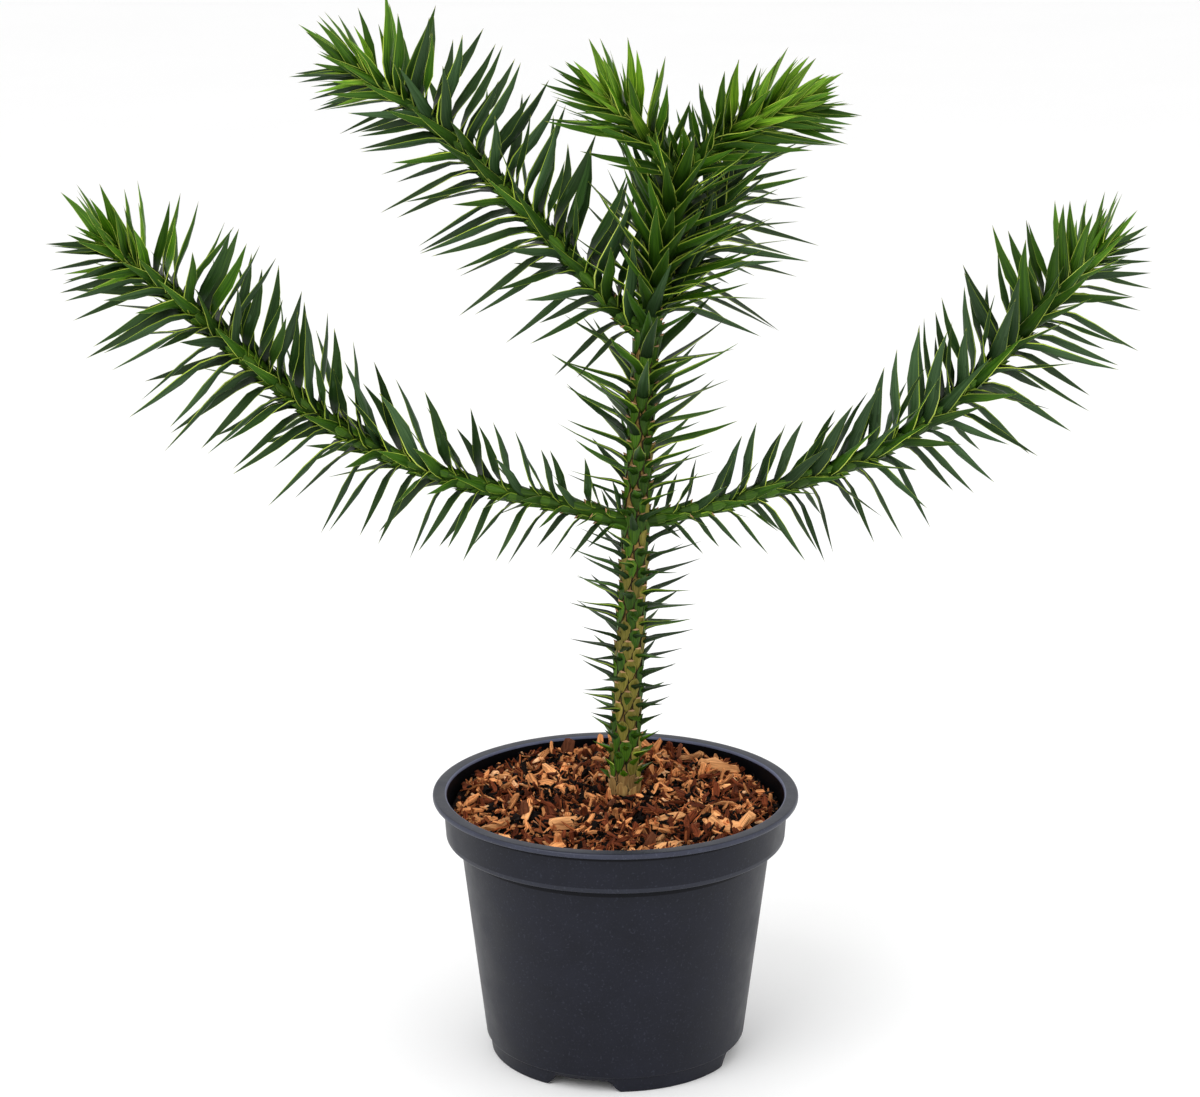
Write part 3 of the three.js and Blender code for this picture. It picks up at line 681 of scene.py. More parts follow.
# Heading at a share of an axis: its bearing round and its rise above level there, as a unit vector
def headingAt(axis, share):
    bearing = np.radians(along(axis["bearings"], share))
    rise = np.radians(along(axis["rises"], share))
    return np.stack([np.cos(bearing) * np.cos(rise), np.sin(bearing) * np.cos(rise), np.sin(rise)], axis=-1)


# Axis of a limb: equal steps from its start, each along the heading at the step's middle
def limbAxis(start, bearings, rises, length, reference):
    axis = {"bearings": bearings, "rises": rises, "length": length, "reference": np.array(reference, float)}
    steps = round(length)
    walk = np.cumsum(headingAt(axis, (np.arange(steps) + 0.5) / steps) * length / steps, axis=0)
    axis["points"] = np.vstack([start, start + walk])
    return axis


# Place, heading and two cross directions at shares of a limb's length: the reference squared to the
# heading, and the one square to both
def frameAt(axis, share):
    stations = np.linspace(0, 1, len(axis["points"]))
    place = np.stack([np.interp(share, stations, axis["points"][:, way]) for way in range(3)], axis=-1)
    heading = headingAt(axis, share)
    lift = axis["reference"] - (heading @ axis["reference"])[..., None] * heading
    lift = lift / np.linalg.norm(lift, axis=-1, keepdims=True)
    return place, heading, lift, np.cross(lift, heading)


stem = {
    "foot": (4.6, 10, 119.5), "length": 291, "rises": [90, 87.6, 87.4, 87.8, 86.6, 80.3, 75.4],
    "radii": [5.5, 5, 4.7, 4.5, 4.3, 4, 3.4], "flare": 1.2, "flareLength": 5, "skin": 0.8, "sleeve": 1.3,
    "relief": 0.45, "seed": 31, "around": 36, "pace": 1.2, "woody": 16,
}
# Leaves round the stem, from its foot to its fork
sleeves = {
    "stem_foot": {
        "from": 0.022, "to": 0.43, "leaves": 104, "seed": 101, "twist": 20, "edged": 0.4,
        "broad": [2.4, 1.7, 1.2, 1, 0.95, 0.95, 0.95], "lengths": [8, 11, 16, 21, 24, 25, 26],
        "thick": [0.3, 0.22, 0.14, 0.09, 0.08, 0.07, 0.07], "splays": [48, 62, 80, 80, 75, 71, 68]},
    "stem_middle": {
        "from": 0.485, "to": 0.725, "leaves": 52, "seed": 102, "twist": 30, "edged": -0.6,
        "broad": [1, 1], "lengths": [30, 38, 41, 43], "thick": [0.05, 0.05], "splays": [68, 66, 64, 60]},
    "leader": {
        "from": 0.79, "to": 0.985, "leaves": 74, "seed": 103, "twist": 34, "edged": -1,
        "broad": [1.2, 1.2], "lengths": [42, 46, 45, 42], "thick": [0.034, 0.034],
        "splays": [60, 54, 48, 42]},
}
# Scales and a few leaves on the stem at its foot and where boughs leave it to the sides
joints = {
    "stem_base": {
        "from": 0.008, "to": 0.034, "leaves": 11, "seed": 106, "twist": 8, "edged": -1, "broad": [2.3, 2.3],
        "lengths": [9, 11], "thick": [0.1, 0.1], "splays": [24, 34], "node": "stem_foot_leaves"},
    "low_joint": {
        "from": 0.433, "to": 0.482, "leaves": 15, "seed": 104, "twist": 20, "edged": 0.4, "broad": [1, 1],
        "lengths": [26, 28], "thick": [0.07, 0.07], "splays": [64, 64], "node": "stem_foot_leaves",
        "farthestAside": 0.65},
    "high_joint": {
        "from": 0.73, "to": 0.786, "leaves": 18, "seed": 105, "twist": 30, "edged": 0, "broad": [1.1, 1.1],
        "lengths": [40, 42], "thick": [0.04, 0.04], "splays": [56, 56], "node": "stem_middle_leaves",
        "farthestAside": 0.65},
}
sleeveRule = {"crowding": 1, "tipped": False, "sag": 0.1, "droop": 0, "lowerGrowth": [0, 0]}

# Splay from a shoot's heading along it, for leaves on its upper side, its flanks and its lower side
leftSplays = {"upper": [62, 62, 56, 50, 52, 58, 74, 78, 28], "flank": [36, 34, 32, 30, 30, 30, 32, 30, 16],
              "lower": [58, 64, 72, 74, 72, 72, 72, 62, 28]}
rightSplays = {"upper": [64, 64, 56, 52, 60, 70, 68, 66, 28], "flank": [36, 34, 32, 30, 30, 30, 32, 30, 16],
               "lower": [56, 60, 76, 82, 74, 72, 74, 66, 30]}
steepSplays = {"upper": [66, 66, 66, 68, 74, 80, 80, 70, 28], "flank": [44, 42, 40, 38, 36, 34, 34, 32, 16],
               "lower": [76, 77, 72, 70, 64, 59, 52, 42, 22]}
backSplays = {"upper": [60, 62, 62, 60, 54, 42, 14], "flank": [50, 48, 46, 43, 40, 32, 10],
              "lower": [62, 58, 54, 50, 46, 38, 14]}
forkSplays = {"upper": [58, 58, 56, 52, 46, 36, 14], "flank": [46, 44, 42, 39, 34, 26, 8],
              "lower": [38, 36, 34, 32, 29, 24, 10]}
boughRadii = [3.6, 3.5, 3.4, 3.1, 2]
backRadii = [3.4, 3.3, 3.1, 2.8, 2]
forkRadii = [3.3, 3.2, 2.9, 2.5, 1.8]
shoots = {
    "lower_left": {
        "root": 0.451, "bearings": [194, 206], "rises": [22, 15, 25, 40, 45, 38], "length": 281,
        "bough": 0.42, "radii": boughRadii, "leaves": 184, "seed": 11, "broad": [1.12, 1.12],
        "lengths": [18, 28, 35, 41, 41, 42, 44, 42, 31], "splays": leftSplays, "sag": 0.1, "droop": 0,
        "lowerGrowth": [0, 0.02, -0.05, -0.08, -0.06, 0.02, 0.07, 0.03, 0]},
    "lower_right": {
        "root": 0.456, "bearings": [6, 20], "rises": [10, 13, 18, 37, 45, 41], "length": 254,
        "bough": 0.42, "radii": boughRadii, "leaves": 168, "seed": 12, "broad": [1.12, 1.12],
        "lengths": [18, 28, 33, 39, 42, 43, 47, 42, 31], "splays": rightSplays, "sag": 0.1, "droop": 0,
        "lowerGrowth": [0, 0, -0.02, -0.05, -0.05, 0, 0, 0.04, 0.02]},
    "upper_left": {
        "root": 0.752, "bearings": [182, 172], "rises": [42, 49, 46.5, 45, 40, 20], "length": 177,
        "bough": 0.4, "radii": boughRadii, "leaves": 136, "seed": 43, "broad": [1.05, 1.05],
        "lengths": [41, 45, 47, 47, 44, 42, 41, 38, 31], "splays": steepSplays, "sag": 0.1, "droop": 0,
        "lowerGrowth": [-0.06, -0.04, 0, 0.04, 0.02, -0.04, -0.08, -0.1, -0.03]},
    "upper_back": {
        "root": 0.768, "bearings": [36, 54], "rises": [50, 47, 48, 53, 57, 57], "length": 107,
        "bough": 0.36, "radii": backRadii, "leaves": 120, "seed": 14, "broad": [0.85, 0.85],
        "lengths": [48, 52, 52, 48, 42, 38, 32], "splays": backSplays, "sag": 0.1, "droop": 0.1,
        "lowerGrowth": [0.06, 0.06]},
    "top_left": {
        "root": 1, "bearings": [186, 192], "rises": [60, 56, 50, 46, 42, 38], "length": 48,
        "bough": 0, "radii": forkRadii, "leaves": 52, "seed": 15, "broad": [1.15, 1.15],
        "lengths": [28, 33, 38, 40, 39, 36, 30], "splays": forkSplays, "sag": 0.04, "droop": 0,
        "lowerGrowth": [0.34, 0.32, 0.28, 0.16, 0.06, 0.06, 0.06]},
    "top_right": {
        "root": 1, "bearings": [-12, -14], "rises": [49, 52, 40, 28, 22, 16], "length": 60,
        "bough": 0, "radii": forkRadii, "leaves": 90, "seed": 16, "broad": [1.15, 1.15],
        "lengths": [28, 33, 37, 40, 40, 37, 30], "splays": forkSplays, "sag": 0.04, "droop": 0,
        "lowerGrowth": [0.34, 0.34, 0.34, 0.24, 0.1, 0.06, 0.06]},
}
shootRule = {"to": 1, "crowding": 1.4, "tipped": True, "twist": 16, "thick": [0.034, 0.034], "edged": -0.8}
shootStart, forkStart = 7.5, 1.3  # first leaf of a bough and of the fork, along the shoot

stem["axis"] = limbAxis(np.array(stem["foot"], float), [0, 0], stem["rises"], stem["length"], (0, 1, 0))
for sleeve in (*sleeves.values(), *joints.values()):
    sleeve.update(sleeveRule, axis=stem["axis"])
    sleeve["splays"] = {side: sleeve["splays"] for side in ("upper", "flank", "lower")}
    sleeve["radiusAt"] = lambda share: along(stem["radii"], share) + stem["sleeve"]
for shoot in shoots.values():
    start = frameAt(stem["axis"], np.array(shoot["root"]))[0]
    shoot["axis"] = limbAxis(start, shoot["bearings"], shoot["rises"], shoot["length"], (0, 0, 1))
    shoot["from"] = (shootStart if shoot["bough"] else forkStart) / shoot["length"]
    shoot.update(shootRule)
    shoot["radiusAt"] = lambda share, radii=shoot["radii"]: along(radii, share)

# Young leaves packed into the tip of each shoot, shorter and steeper than the ones round them
bud = {
    "reach": 18, "leaves": 18, "crowding": 1.2, "lengths": [30, 26, 17], "broad": [1, 0.85], "young": True,
    "lowerGrowth": [0, 0], "splays": {"upper": [46, 34, 10], "flank": [36, 26, 8], "lower": [42, 30, 10]},
}
budSeed = 60  # added to the shoot's own
buds = {}
for name, shoot in shoots.items():
    low = 1 - bud["reach"] / shoot["length"]
    own = {"from": low, "seed": shoot["seed"] + budSeed, "node": f"{name}_leaves"}
    buds[f"{name}_bud"] = {**shoot, **bud, **own}

# Bark of the stem and of the green limbs. Each wave of its relief has a height, two paces and its most
# turns
bark = {
    "waves": [(0.5, 0.1, 0.3, 4), (0.4, 0.5, 0.9, 7), (0.3, 1.2, 1.9, 9)], "fewestRings": 6,
    "startPoint": 0.4, "endPoint": 0.8,
    "look": {"share": 0.85, "across": 9.0, "cast": 0.3, "rough": (0.7, 0.95), "specular": 0.12},
}
barkKinds = {
    "woodyBark": {"seen": (138, 106, 64), "streak": (72, 50, 28), "along": 60.0, "bump": 0.6, "depth": 0.8},
    "stemBark": {"seen": (150, 122, 68), "streak": (84, 62, 28), "along": 40.0, "bump": 0.7, "depth": 0.9},
    "greenBark": {"seen": (44, 76, 10), "streak": (30, 46, 8), "along": 40.0, "bump": 0.4, "depth": 0.5},
}
woodyBark, stemBark, greenBark = (
    streakFinish(name, {**bark["look"], **kind}) for name, kind in barkKinds.items())
twig = {"under": 0.25, "relief": 0.25, "seed": 40, "around": 22, "pace": 1.6}


# Skin of a limb: rings round its axis whose radius swells and dips in waves, closed by a point at each end
def limbSkin(axis, low, high, radiusAt, look, seed):
    rows = max(bark["fewestRings"], round((high - low) * axis["length"] / look["pace"]))
    share = np.linspace(low, high, rows)
    turn = -np.linspace(0, 2 * np.pi, look["around"], endpoint=False)
    place, heading, lift, side = frameAt(axis, share)
    distance = (share * axis["length"])[:, None]
    waves = [(look["relief"] * height, *paces) for height, *paces in bark["waves"]]
    radius = radiusAt(share)[:, None] + ripples(distance, turn[None], waves, seed)
    outward = lift[:, None] * np.cos(turn)[None, :, None] + side[:, None] * np.sin(turn)[None, :, None]
    rings = (place[:, None] + outward * radius[..., None])[None]
    before = place[:1] - heading[:1] * bark["startPoint"]
    after = place[-1:] + heading[-1:] * bark["endPoint"]
    shape = ringBodies(rings, before, after)
    pairs = np.stack(np.broadcast_arrays(np.abs(turn / np.pi + 1), share[:, None]), axis=-1)[None]
    flatMap = ringValues(pairs, (0.5, low), (0.5, high))
    return shape, flatMap


# Radius of the stem's skin: its taper and its skin, with a flare at the foot that fades away
def stemRadius(share):
    flare = stem["flare"] * np.exp(-np.maximum(share, 0) * stem["length"] / stem["flareLength"])
    return along(stem["radii"], share) + flare + stem["skin"]


# The stem's bark, woody at its foot, and the green bark of each bough and of the twig that goes on from it
def buildLimbs():
    shape, flatMap = limbSkin(stem["axis"], 0.0, 1.0, stemRadius, stem, stem["seed"])
    height = shape["points"][shape["faces"][0]].mean(axis=1)[:, 2]
    finish = np.ones(len(shape["row"]))
    finish[:len(height)] = height - stem["foot"][2] > stem["woody"]
    newPiece("stem_bark", shape, [woodyBark, stemBark], ["stem"], finish, True, flatMap,
             np.zeros(len(shape["points"])))
    for index, (name, shoot) in enumerate(shoots.items()):
        bough = shoot["bough"]
        spans = [("twig", bough, 1.0, f"{name}_leaves", "leaf" if bough else "young_leaf")]
        if bough:
            spans.append(("bough_bark", 0.0, bough, f"{name}_bough", "stem_bark"))
        for kind, low, high, node, slot in spans:
            skin = lambda share: shoot["radiusAt"](share) - twig["under"]
            shape, flatMap = limbSkin(shoot["axis"], low, high, skin, twig, twig["seed"] + index)
            newPiece(f"{name}_{kind}", shape, [greenBark], [node], None, True, flatMap,
                     np.zeros(len(shape["points"])))
    print("limbs:", 1 + len(shoots))


buildLimbs()


# Leaves: how they stand, then the outline and thickness of their blades
leaf = {
    "goldenAngle": 137.508, "pull": 0.16, "lean": 0.14, "widthFoot": 1.2, "widthShare": 0.111,
    "upperBreadth": 0.2, "incurve": 0.045, "flankLoss": 0.3, "channel": 0.14, "clasp": 0.5, "claspFade": 4,
    "twistReach": 0.45, "sideCurve": 0.05, "turnLow": 40, "turnHigh": 74,
    "jitter": {"length": 0.11, "splay": 9, "turn": 9, "incurve": 0.05},
    "stations": [-0.04, 0.08, 0.24, 0.48, 0.74, 0.95], "marginAt": 0.93, "underMargin": 0.35,
    "outlineFall": 1.05, "belly": 0.95, "thinning": 0.95, "thinningFall": 1.4,
}
leafLook = {"across": 16.0, "along": 1.4, "cast": 0.36, "bump": 0.3, "depth": 0.25, "specular": 0.2}
# Leaf tones; each 'foot' is the share of painted shade at the leaf's foot
leafKinds = {
    "deepLeaf": {"seen": (19, 43, 9), "streak": (58, 88, 38), "foot": 0.85, "share": 0.65,
                 "rough": (0.42, 0.6)},
    "middleLeaf": {"seen": (30, 64, 4), "streak": (76, 118, 18), "foot": 0.7, "share": 0.65,
                   "rough": (0.42, 0.6)},
    "freshLeaf": {"seen": (22, 60, 2), "streak": (104, 154, 22), "foot": 0.9, "share": 0.75,
                  "rough": (0.36, 0.5)},
    "blueLeaf": {"seen": (32, 57, 25), "streak": (74, 102, 62), "foot": 0.7, "share": 0.65,
                 "rough": (0.5, 0.66)},
    "leafMargin": {"seen": (128, 154, 42), "streak": (164, 182, 74), "foot": 0.2, "share": 0.6,
                   "rough": (0.45, 0.6)},
    "leafSpine": {"seen": (112, 128, 48), "streak": (128, 112, 60), "foot": 0.0, "share": 0.5,
                  "rough": (0.45, 0.6)},
    "dryLeaf": {"seen": (104, 98, 44), "streak": (160, 144, 80), "foot": 0.0, "share": 0.8,
                "rough": (0.6, 0.8)},
    "brightLeaf": {"seen": (28, 78, 2), "streak": (150, 194, 50), "foot": 0.85, "share": 0.8,
                   "rough": (0.32, 0.46)},
    "brightMargin": {"seen": (174, 198, 62), "streak": (206, 216, 116), "foot": 0.2, "share": 0.6,
                     "rough": (0.4, 0.55)},
}
# Colour of the painted shade at the leaves' feet, where they crowd at the limb
footShadeLook = {**leafLook, "footShadeSeen": (14, 40, 1)}
leafFinishes = [streakFinish(name, {**footShadeLook, **kind}) for name, kind in leafKinds.items()]
(deepLeaf, middleLeaf, freshLeaf, blueLeaf, leafMargin, leafSpine, dryLeaf, brightLeaf,
 brightMargin) = range(len(leafKinds))


# Each leaf stands at its turn of the golden spiral, drawn a little towards its shoot's upper or lower side.
# It is splayed from its limb by a row for that side, twisted and bent by its own draws, and shorter on the
# flanks
def growLeaves(growth):
    count = growth["leaves"]
    order = np.arange(count)
    jitter = leaf["jitter"]
    tipped = growth["tipped"]
    draws = seededDraws(growth["seed"], count, 5)  # for turn, splay, length, twist and incurve
    spread = 1 - (1 - order / (count - 1)) ** growth["crowding"]
    share = growth["from"] + (growth["to"] - growth["from"]) * spread
    place, heading, lift, side = frameAt(growth["axis"], share)
    turn = np.radians(order * leaf["goldenAngle"] + draws[:, 0] * jitter["turn"])
    turn = turn - tipped * (leaf["pull"] * np.sin(2 * turn) + leaf["lean"] * np.sin(turn))
    outward = lift * np.cos(turn)[:, None] + side * np.sin(turn)[:, None]
    over = np.cos(turn) * tipped
    upper, flank, lower = (along(growth["splays"][way], spread) for way in ("upper", "flank", "lower"))
    splay = flank + (upper - flank) * np.maximum(0, over) + (lower - flank) * np.maximum(0, -over)
    splay = np.radians(splay + draws[:, 1] * jitter["splay"])
    ahead, out = np.cos(splay)[:, None], np.sin(splay)[:, None]
    direction = heading * ahead + outward * out
    flat = heading * out - outward * ahead
    length = along(growth["lengths"], spread) * (
        1 - along(growth["lowerGrowth"], spread) * over + draws[:, 2] * jitter["length"])
    length = length * (1 - leaf["flankLoss"] * tipped * (1 - np.abs(over)))
    sided = np.sqrt(np.abs(over))
    turnedBy = np.sign(draws[:, 3]) * leaf["turnLow"] + draws[:, 3] * (leaf["turnHigh"] - leaf["turnLow"])
    twist = np.radians(draws[:, 3] * growth["twist"] * (1 - sided) + turnedBy * sided)
    across = np.cross(direction, flat)
    bend = flat * (leaf["incurve"] * (1 + over) + draws[:, 4] * jitter["incurve"])[:, None]
    bend += across * (leaf["sideCurve"] * draws[:, 1])[:, None]
    bend[:, 2] -= growth["sag"] * np.maximum(0, -outward[:, 2]) + growth["droop"]
    radius = growth["radiusAt"](share)
    root = place + outward * (radius * np.sin(splay))[:, None]
    return {"share": share, "spread": spread, "turn": turn, "radius": radius, "outward": outward,
            "root": root, "direction": direction, "flat": flat, "across": across, "twist": twist,
            "bend": bend, "length": length, "draws": draws, "over": over}


# Blade: rings across a leaf, as wide as its outline at each station and dished along the middle. Its middle
# line clasps the limb at first, then runs straight and bends by the square of the way along it, and its face
# turns over the first part of its length
def leafBlades(growth, leaves):
    station = np.array(leaf["stations"])
    length = leaves["length"][:, None]
    wide, under = leaf["marginAt"], leaf["underMargin"]
    column = np.array([-1, -wide, 0, wide, 1, wide, 0, -wide])
    below = np.array([0, 0, 0, 0, 0, under, 1, under])
    share = np.clip(station, 0, 1)
    outline = (1 - share) ** leaf["outlineFall"] * (1 + leaf["belly"] * share)
    broader = 1 + leaf["upperBreadth"] * leaves["over"]
    breadth = (along(growth["broad"], leaves["spread"]) * broader)[:, None]
    halfWidth = breadth * (leaf["widthFoot"] + leaf["widthShare"] * length) / 2 * outline
    thinned = (1 - leaf["thinning"] * share) ** leaf["thinningFall"]
    thick = along(growth["thick"], leaves["spread"])[:, None] * length * thinned
    twist = (leaves["twist"][:, None] * np.clip(share / leaf["twistReach"], 0, 1))[..., None]
    flat, over = leaves["flat"][:, None], leaves["across"][:, None]
    face = flat * np.cos(twist) + over * np.sin(twist)
    side = over * np.cos(twist) - flat * np.sin(twist)
    clasp = leaf["clasp"] * station * (1 - share) ** leaf["claspFade"]
    middle = (leaves["root"][:, None] + leaves["direction"][:, None] * (station * length)[..., None]
              + flat * (clasp * length)[..., None]
              + leaves["bend"][:, None] * (share ** 2 * length)[..., None])
    dish = leaf["channel"] * column ** 2 * halfWidth[..., None] - below * thick[..., None]
    rings = (middle[:, :, None] + side[:, :, None] * (column * halfWidth[..., None])[..., None]
             + face[:, :, None] * dish[..., None])
    tip = leaves["root"] + (leaves["direction"] + leaves["bend"]) * length
    shape = ringBodies(rings, None, tip)
    pairs = np.stack(np.broadcast_arrays((column + 1) / 2, share[:, None]), axis=-1)
    flatMap = ringValues(np.broadcast_to(pairs, (*rings.shape[:3], 2)), (0.5, 1))
    return shape, flatMap


# Where each tone of leaf starts: shares along a shoot, sides of it from 1 above to -1 below, and draws
leafPlaces = {
    "ageDraw": 0.06, "flank": 0.55, "flankDraw": 0.2, "above": -0.35, "fresh": 0.9, "middle": 0.8,
    "pale": 0.85, "footFresh": 0.11, "footFreshDraw": 0.04, "footDry": 0.024, "footDryDraw": 0.012,
    "youngPale": -0.6, "forkFresh": 0.4, "forkFreshOver": -0.5, "forkBright": 0.5, "forkBrightOver": -0.4,
    "forkBrightDraw": -0.2, "brightEdge": 1.4, "brightFlank": 0.3,
}
bladeUnder, bladeMargins = (5, 6), (0, 3, 4, 7)  # columns of a blade's faces


# Tone of each leaf: dark when old and on the upper and lower sides, greener on the flanks, fresh at the
# tips, and on the stem fresh and then dry towards its foot
def leafBases(growth, leaves, age, flank):
    draw, over, share = leaves["draws"], leaves["over"], leaves["share"]
    at = leafPlaces
    if not growth["tipped"]:
        base = np.where(draw[:, 1] > growth["edged"], middleLeaf, deepLeaf)
        base = np.where(share < at["footFresh"] + at["footFreshDraw"] * draw[:, 4], freshLeaf, base)
        return np.where(share < at["footDry"] + at["footDryDraw"] * draw[:, 2], dryLeaf, base)
    if growth.get("young"):
        return np.where(draw[:, 1] > 0, brightLeaf, freshLeaf)
    if not growth["bough"]:
        base = np.where((age > at["forkFresh"]) & (over > at["forkFreshOver"]), freshLeaf, middleLeaf)
        bright = (age > at["forkBright"]) & (over > at["forkBrightOver"])
        return np.where(bright & (draw[:, 1] > at["forkBrightDraw"]), brightLeaf, base)
    above = over > at["above"]
    older = np.where(flank | ((age > at["middle"]) & above), middleLeaf, deepLeaf)
    return np.where((age > at["fresh"]) & above, freshLeaf, older)


# Finish of each face of the blades: the leaf's tone, a bluer underside on dark leaves, pale margins and a
# dry spine
def leafTones(growth, leaves, shape):
    draw = leaves["draws"]
    at = leafPlaces
    age = leaves["spread"] + at["ageDraw"] * draw[:, 2]
    flank = np.abs(leaves["over"]) < at["flank"] + at["flankDraw"] * draw[:, 1]
    base = leafBases(growth, leaves, age, flank)
    pale = draw[:, 0] > (at["youngPale"] if growth.get("young") else growth["edged"])
    if growth["tipped"] and not growth.get("young"):
        pale |= flank | (age > at["pale"])
    bright = (base == freshLeaf) | (base == brightLeaf) | (draw[:, 2] > growth["edged"] + at["brightEdge"])
    bright |= flank & growth["tipped"] & (age > at["brightFlank"])
    margin = np.where(bright, brightMargin, leafMargin)
    column, row, body = shape["column"], shape["row"], shape["body"]
    under = np.isin(column, bladeUnder) & (base[body] == deepLeaf)
    finish = np.where(under, blueLeaf, base[body])
    finish = np.where(np.isin(column, bladeMargins) & pale[body], margin[body], finish)
    return np.where(row >= len(leaf["stations"]) - 1, leafSpine, finish)  # the last row is the tip's fan


# Scales: the foot of each leaf runs back along its limb as a raised diamond that narrows to a point
scale = {
    "ahead": 4.2, "back": 9, "stemBack": 8.5, "widthShare": 0.7, "widest": 3.5, "height": 1.5, "sunk": 0.8,
    "stations": [0.1, 0.26, 0.48, 0.76], "outline": [0.55, 1, 0.94, 0.5], "edgeAt": 0.8, "edgeFall": 0.9,
    "riseFall": 1.4, "seated": 0.12, "frontLift": 1.15, "tailLift": -0.2,
}
# Scale colours; scaleCreaseShade is painted shade along the sides of the stem's scales, and scaleShade is
# painted shade on the tails of the shoots' scales
scaleKinds = {
    "greenScale": {"seen": (38, 72, 6), "streak": (84, 118, 24), "share": 0.7, "rough": (0.45, 0.6)},
    "oliveScale": {"seen": (100, 98, 26), "streak": (156, 140, 70), "share": 0.85, "rough": (0.5, 0.7)},
    "scaleEdge": {"seen": (104, 134, 32), "streak": (138, 158, 60), "share": 0.6, "rough": (0.45, 0.65)},
    "scaleTip": {"seen": (164, 122, 82), "streak": (206, 166, 128), "share": 0.8, "rough": (0.6, 0.8)},
    "barkScale": {"seen": (118, 86, 46), "streak": (172, 142, 86), "share": 0.8, "rough": (0.6, 0.8)},
    "scaleCreaseShade": {"seen": (34, 30, 12), "streak": (66, 52, 24), "share": 0.6, "rough": (0.7, 0.85)},
    "scaleShade": {"seen": (32, 60, 6), "streak": (66, 96, 18), "share": 0.6, "rough": (0.5, 0.7)},
}
scaleFinishes = [streakFinish(name, {**leafLook, **kind}) for name, kind in scaleKinds.items()]
(greenScale, oliveScale, scaleEdge, scaleTip, barkScale, scaleCreaseShade,
 scaleShade) = range(len(scaleKinds))


# Points on a limb's skin: at shares of its axis, turned round it and lifted off it
def skinPoints(growth, share, turn, lifted):
    place, heading, lift, side = frameAt(growth["axis"], share)
    outward = lift[..., None, :] * np.cos(turn)[..., None] + side[..., None, :] * np.sin(turn)[..., None]
    reach = growth["radiusAt"](share)[..., None] + lifted
    return place[..., None, :] + outward * reach[..., None]


# Diamond of each leaf: rings of points across the skin at stations from its front to its tail, highest in
# the middle and at the front, with one point under the skin to close each ring
def leafScales(growth, leaves):
    station = np.array(scale["stations"])
    across = np.array([-1, -scale["edgeAt"], 0, scale["edgeAt"], 1, 0])
    buried = np.array([0, 0, 0, 0, 0, 1])
    length = growth["axis"]["length"]
    back = scale["back"] if growth["tipped"] else scale["stemBack"]
    ahead = scale["ahead"] - station * (back + scale["ahead"])
    share = np.clip(leaves["share"][:, None] + ahead / length, 0, 1)
    widest = np.minimum(leaves["radius"] * scale["widthShare"], scale["widest"])[:, None]
    halfWidth = widest * np.array(scale["outline"])
    turn = leaves["turn"][:, None, None] + across * (halfWidth / growth["radiusAt"](share))[..., None]
    ridge = (1 - station ** scale["riseFall"])[:, None] * (1 - scale["edgeFall"] * np.abs(across))
    lifted = scale["height"] * ridge - scale["sunk"] * buried - scale["seated"]
    rings = skinPoints(growth, share, turn, lifted)
    ends = []
    front = scale["height"] * scale["frontLift"]
    for reach, lifted in ((scale["ahead"], front), (-back, scale["tailLift"])):
        tail = np.clip(leaves["share"] + reach / length, 0, 1)
        ends.append(skinPoints(growth, tail, leaves["turn"][:, None], lifted)[:, 0])
    shape = ringBodies(rings, *ends)
    pairs = np.stack(np.broadcast_arrays((across + 1) / 2, station[:, None]), axis=-1)
    flatMap = ringValues(np.broadcast_to(pairs, (*rings.shape[:3], 2)), (0.5, 0), (0.5, 1))
    return shape, flatMap


# Where each tone of scale starts: shares along the stem or a bough, and draws
scalePlaces = {
    "creased": 0.8, "oliveRise": 2.2, "oliveStart": 0.5, "bark": 0.05, "barkDraw": 0.02, "boughAged": 0.14,
    "edgeDraw": -0.5, "shadeRow": 2, "shadeDraw": -0.6, "dryDraw": -0.4,
}
scaleSides = (0, 3)  # columns of a scale's faces


# Finish of each face of the scales: green, olive and then bark-brown low on the stem, with painted shade
# along their sides there and paler edges on most others, painted shade on the tails of the shoots' scales
# and dry tips on older wood
def scaleTones(growth, leaves, shape):
    draw, share = leaves["draws"], leaves["share"]
    at = scalePlaces
    low = (share < at["creased"]) & (not growth["tipped"])
    base = np.where(low & (draw[:, 2] > at["oliveRise"] * share - at["oliveStart"]), oliveScale, greenScale)
    base = np.where(low & (share < at["bark"] + at["barkDraw"] * draw[:, 4]), barkScale, base)
    aged = low | (share < at["boughAged"]) if growth.get("bough") else low
    # Painted shade along the sides of the stem's scales, paler edges on most others
    edge = np.where(low, scaleCreaseShade, np.where(draw[:, 3] > at["edgeDraw"], scaleEdge, base))
    body = shape["body"]
    finish = np.where(np.isin(shape["column"], scaleSides), edge[body], base[body])
    if growth["tipped"]:
        # Painted shade on the back rows of most of the shoots' scales
        shaded = (shape["row"] >= at["shadeRow"]) & (draw[:, 1] > at["shadeDraw"])[body]
        finish = np.where(shaded, scaleShade, finish)
    quads = len(shape["faces"][0])
    front = np.zeros(len(finish), bool)
    front[quads:quads + len(shape["faces"][1])] = True  # the fans at the fronts follow the quads
    return np.where(front & (aged & (draw[:, 1] > at["dryDraw"]))[body], scaleTip, finish)


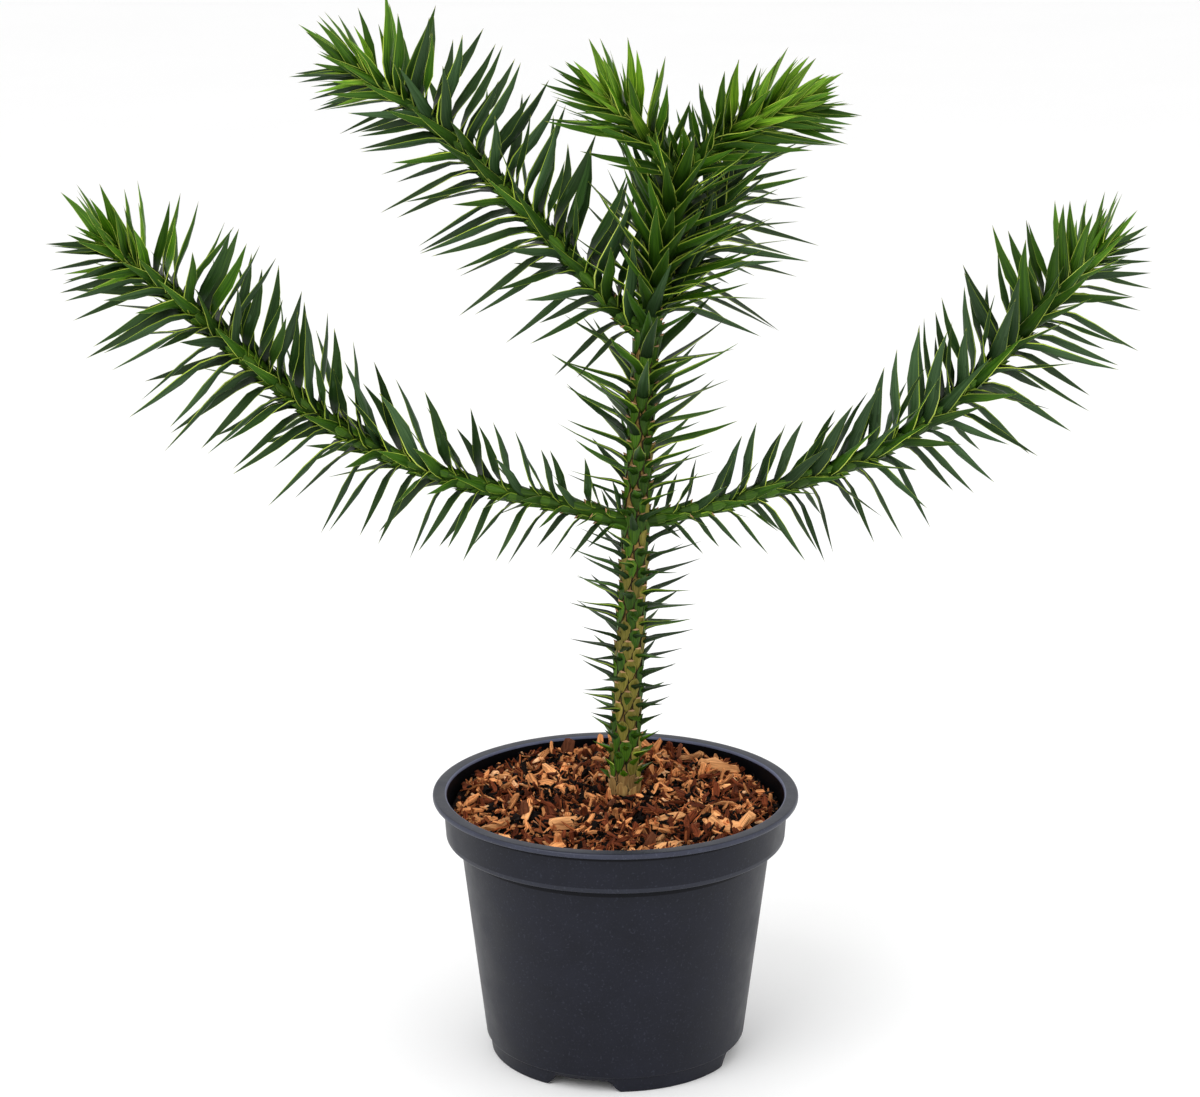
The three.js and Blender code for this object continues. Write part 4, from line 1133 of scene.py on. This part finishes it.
# Blades and scales of each sleeve, joint, shoot and bud, a piece for each
def buildLeaves():
    total = 0
    for name, growth in {**sleeves, **joints, **shoots, **buds}.items():
        node = growth.get("node", f"{name}_leaves")
        leaves = growLeaves(growth)
        shape, flatMap = leafScales(growth, leaves)
        draws = np.repeat(leaves["draws"][:, 0], shape["each"])
        newPiece(f"{name}_scales", shape, scaleFinishes, [node], scaleTones(growth, leaves, shape),
                 True, flatMap, draws)
        if "farthestAside" in growth:  # the boughs leave from the sides there
            kept = np.abs(leaves["outward"][:, 0]) < growth["farthestAside"]
            leaves = {key: values[kept] for key, values in leaves.items()}
        shape, flatMap = leafBlades(growth, leaves)
        draws = np.repeat(leaves["draws"][:, 4], shape["each"])
        newPiece(f"{name}_blades", shape, leafFinishes, [node], leafTones(growth, leaves, shape),
                 True, flatMap, draws)
        total += len(leaves["length"])
    print("leaves:", total)


buildLeaves()


# Studio: pale floor, soft light and the photo's viewpoint. The camera's place is in millimetres from the
# pot, and the rest is in metres
studio = {
    "cameraAt": (-7.2, -1441.4, 640.9), "pitch": 15.45, "lens": 98.4, "sensor": 36, "clip": (0.05, 30),
    "sky": 1.0, "aimHeight": 0.28, "floorSize": 6.0,
    "floorLook": {"seen": (252, 252, 252), "cloud": (253, 253, 253), "speck": (248, 248, 248),
                  "cloudScale": 3.0, "speckScale": 300.0, "speckShare": 0.2, "rough": (0.7, 0.85),
                  "bump": 0.03, "depth": 0.2, "specular": 0.2},
    "lights": {"keyLight": {"power": 18.0, "size": 1.4, "at": (-0.9, -1.2, 1.7)},
               "fillLight": {"power": 4.0, "size": 1.6, "at": (1.3, -0.9, 0.9)}},
}


# Square soft light at its place, turned to a target
def aimedLight(name, light, target):
    data = bpy.data.lights.new(name, "AREA")
    data.energy = light["power"]
    data.size = light["size"]
    lamp = bpy.data.objects.new(name, data)
    lamp.location = light["at"]
    way = target - lamp.location
    lamp.rotation_euler = way.to_track_quat("-Z", "Y").to_euler()
    bpy.context.scene.collection.objects.link(lamp)


# Camera at the photo's viewpoint, tipped down by its pitch
def photoCamera():
    data = bpy.data.cameras.new("photoCamera")
    data.sensor_fit = "HORIZONTAL"
    data.sensor_width = studio["sensor"]
    data.lens = studio["lens"]
    data.clip_start, data.clip_end = studio["clip"]
    camera = bpy.data.objects.new("photoCamera", data)
    camera.location = (np.array(studio["cameraAt"]) * mm + plantShift).tolist()
    camera.rotation_euler = (math.radians(90 - studio["pitch"]), 0, 0)
    bpy.context.scene.collection.objects.link(camera)
    bpy.context.scene.camera = camera


# Floor, sky, lights and camera
def buildStudio():
    reach = studio["floorSize"]
    corners = [(-reach, -reach, 0), (reach, -reach, 0), (reach, reach, 0), (-reach, reach, 0)]
    mesh = bpy.data.meshes.new("floor")
    mesh.from_pydata(corners, [], [(0, 1, 2, 3)])
    mesh.materials.append(grainFinish("paleFloor", studio["floorLook"]))
    floor = bpy.data.objects.new("floor", mesh)
    bpy.context.scene.collection.objects.link(floor)
    world = bpy.data.worlds.new("softSky")
    bpy.context.scene.world = world
    world.use_nodes = True
    sky = world.node_tree.nodes["Background"]
    sky.inputs["Color"].default_value = (1, 1, 1, 1)
    sky.inputs["Strength"].default_value = studio["sky"]
    target = (potLow + potHigh) / 2
    target.z = studio["aimHeight"]
    for name, light in studio["lights"].items():
        aimedLight(name, light, target)
    photoCamera()
    bpy.context.scene.view_settings.view_transform = "Standard"
    print("studio: ready")


buildStudio()
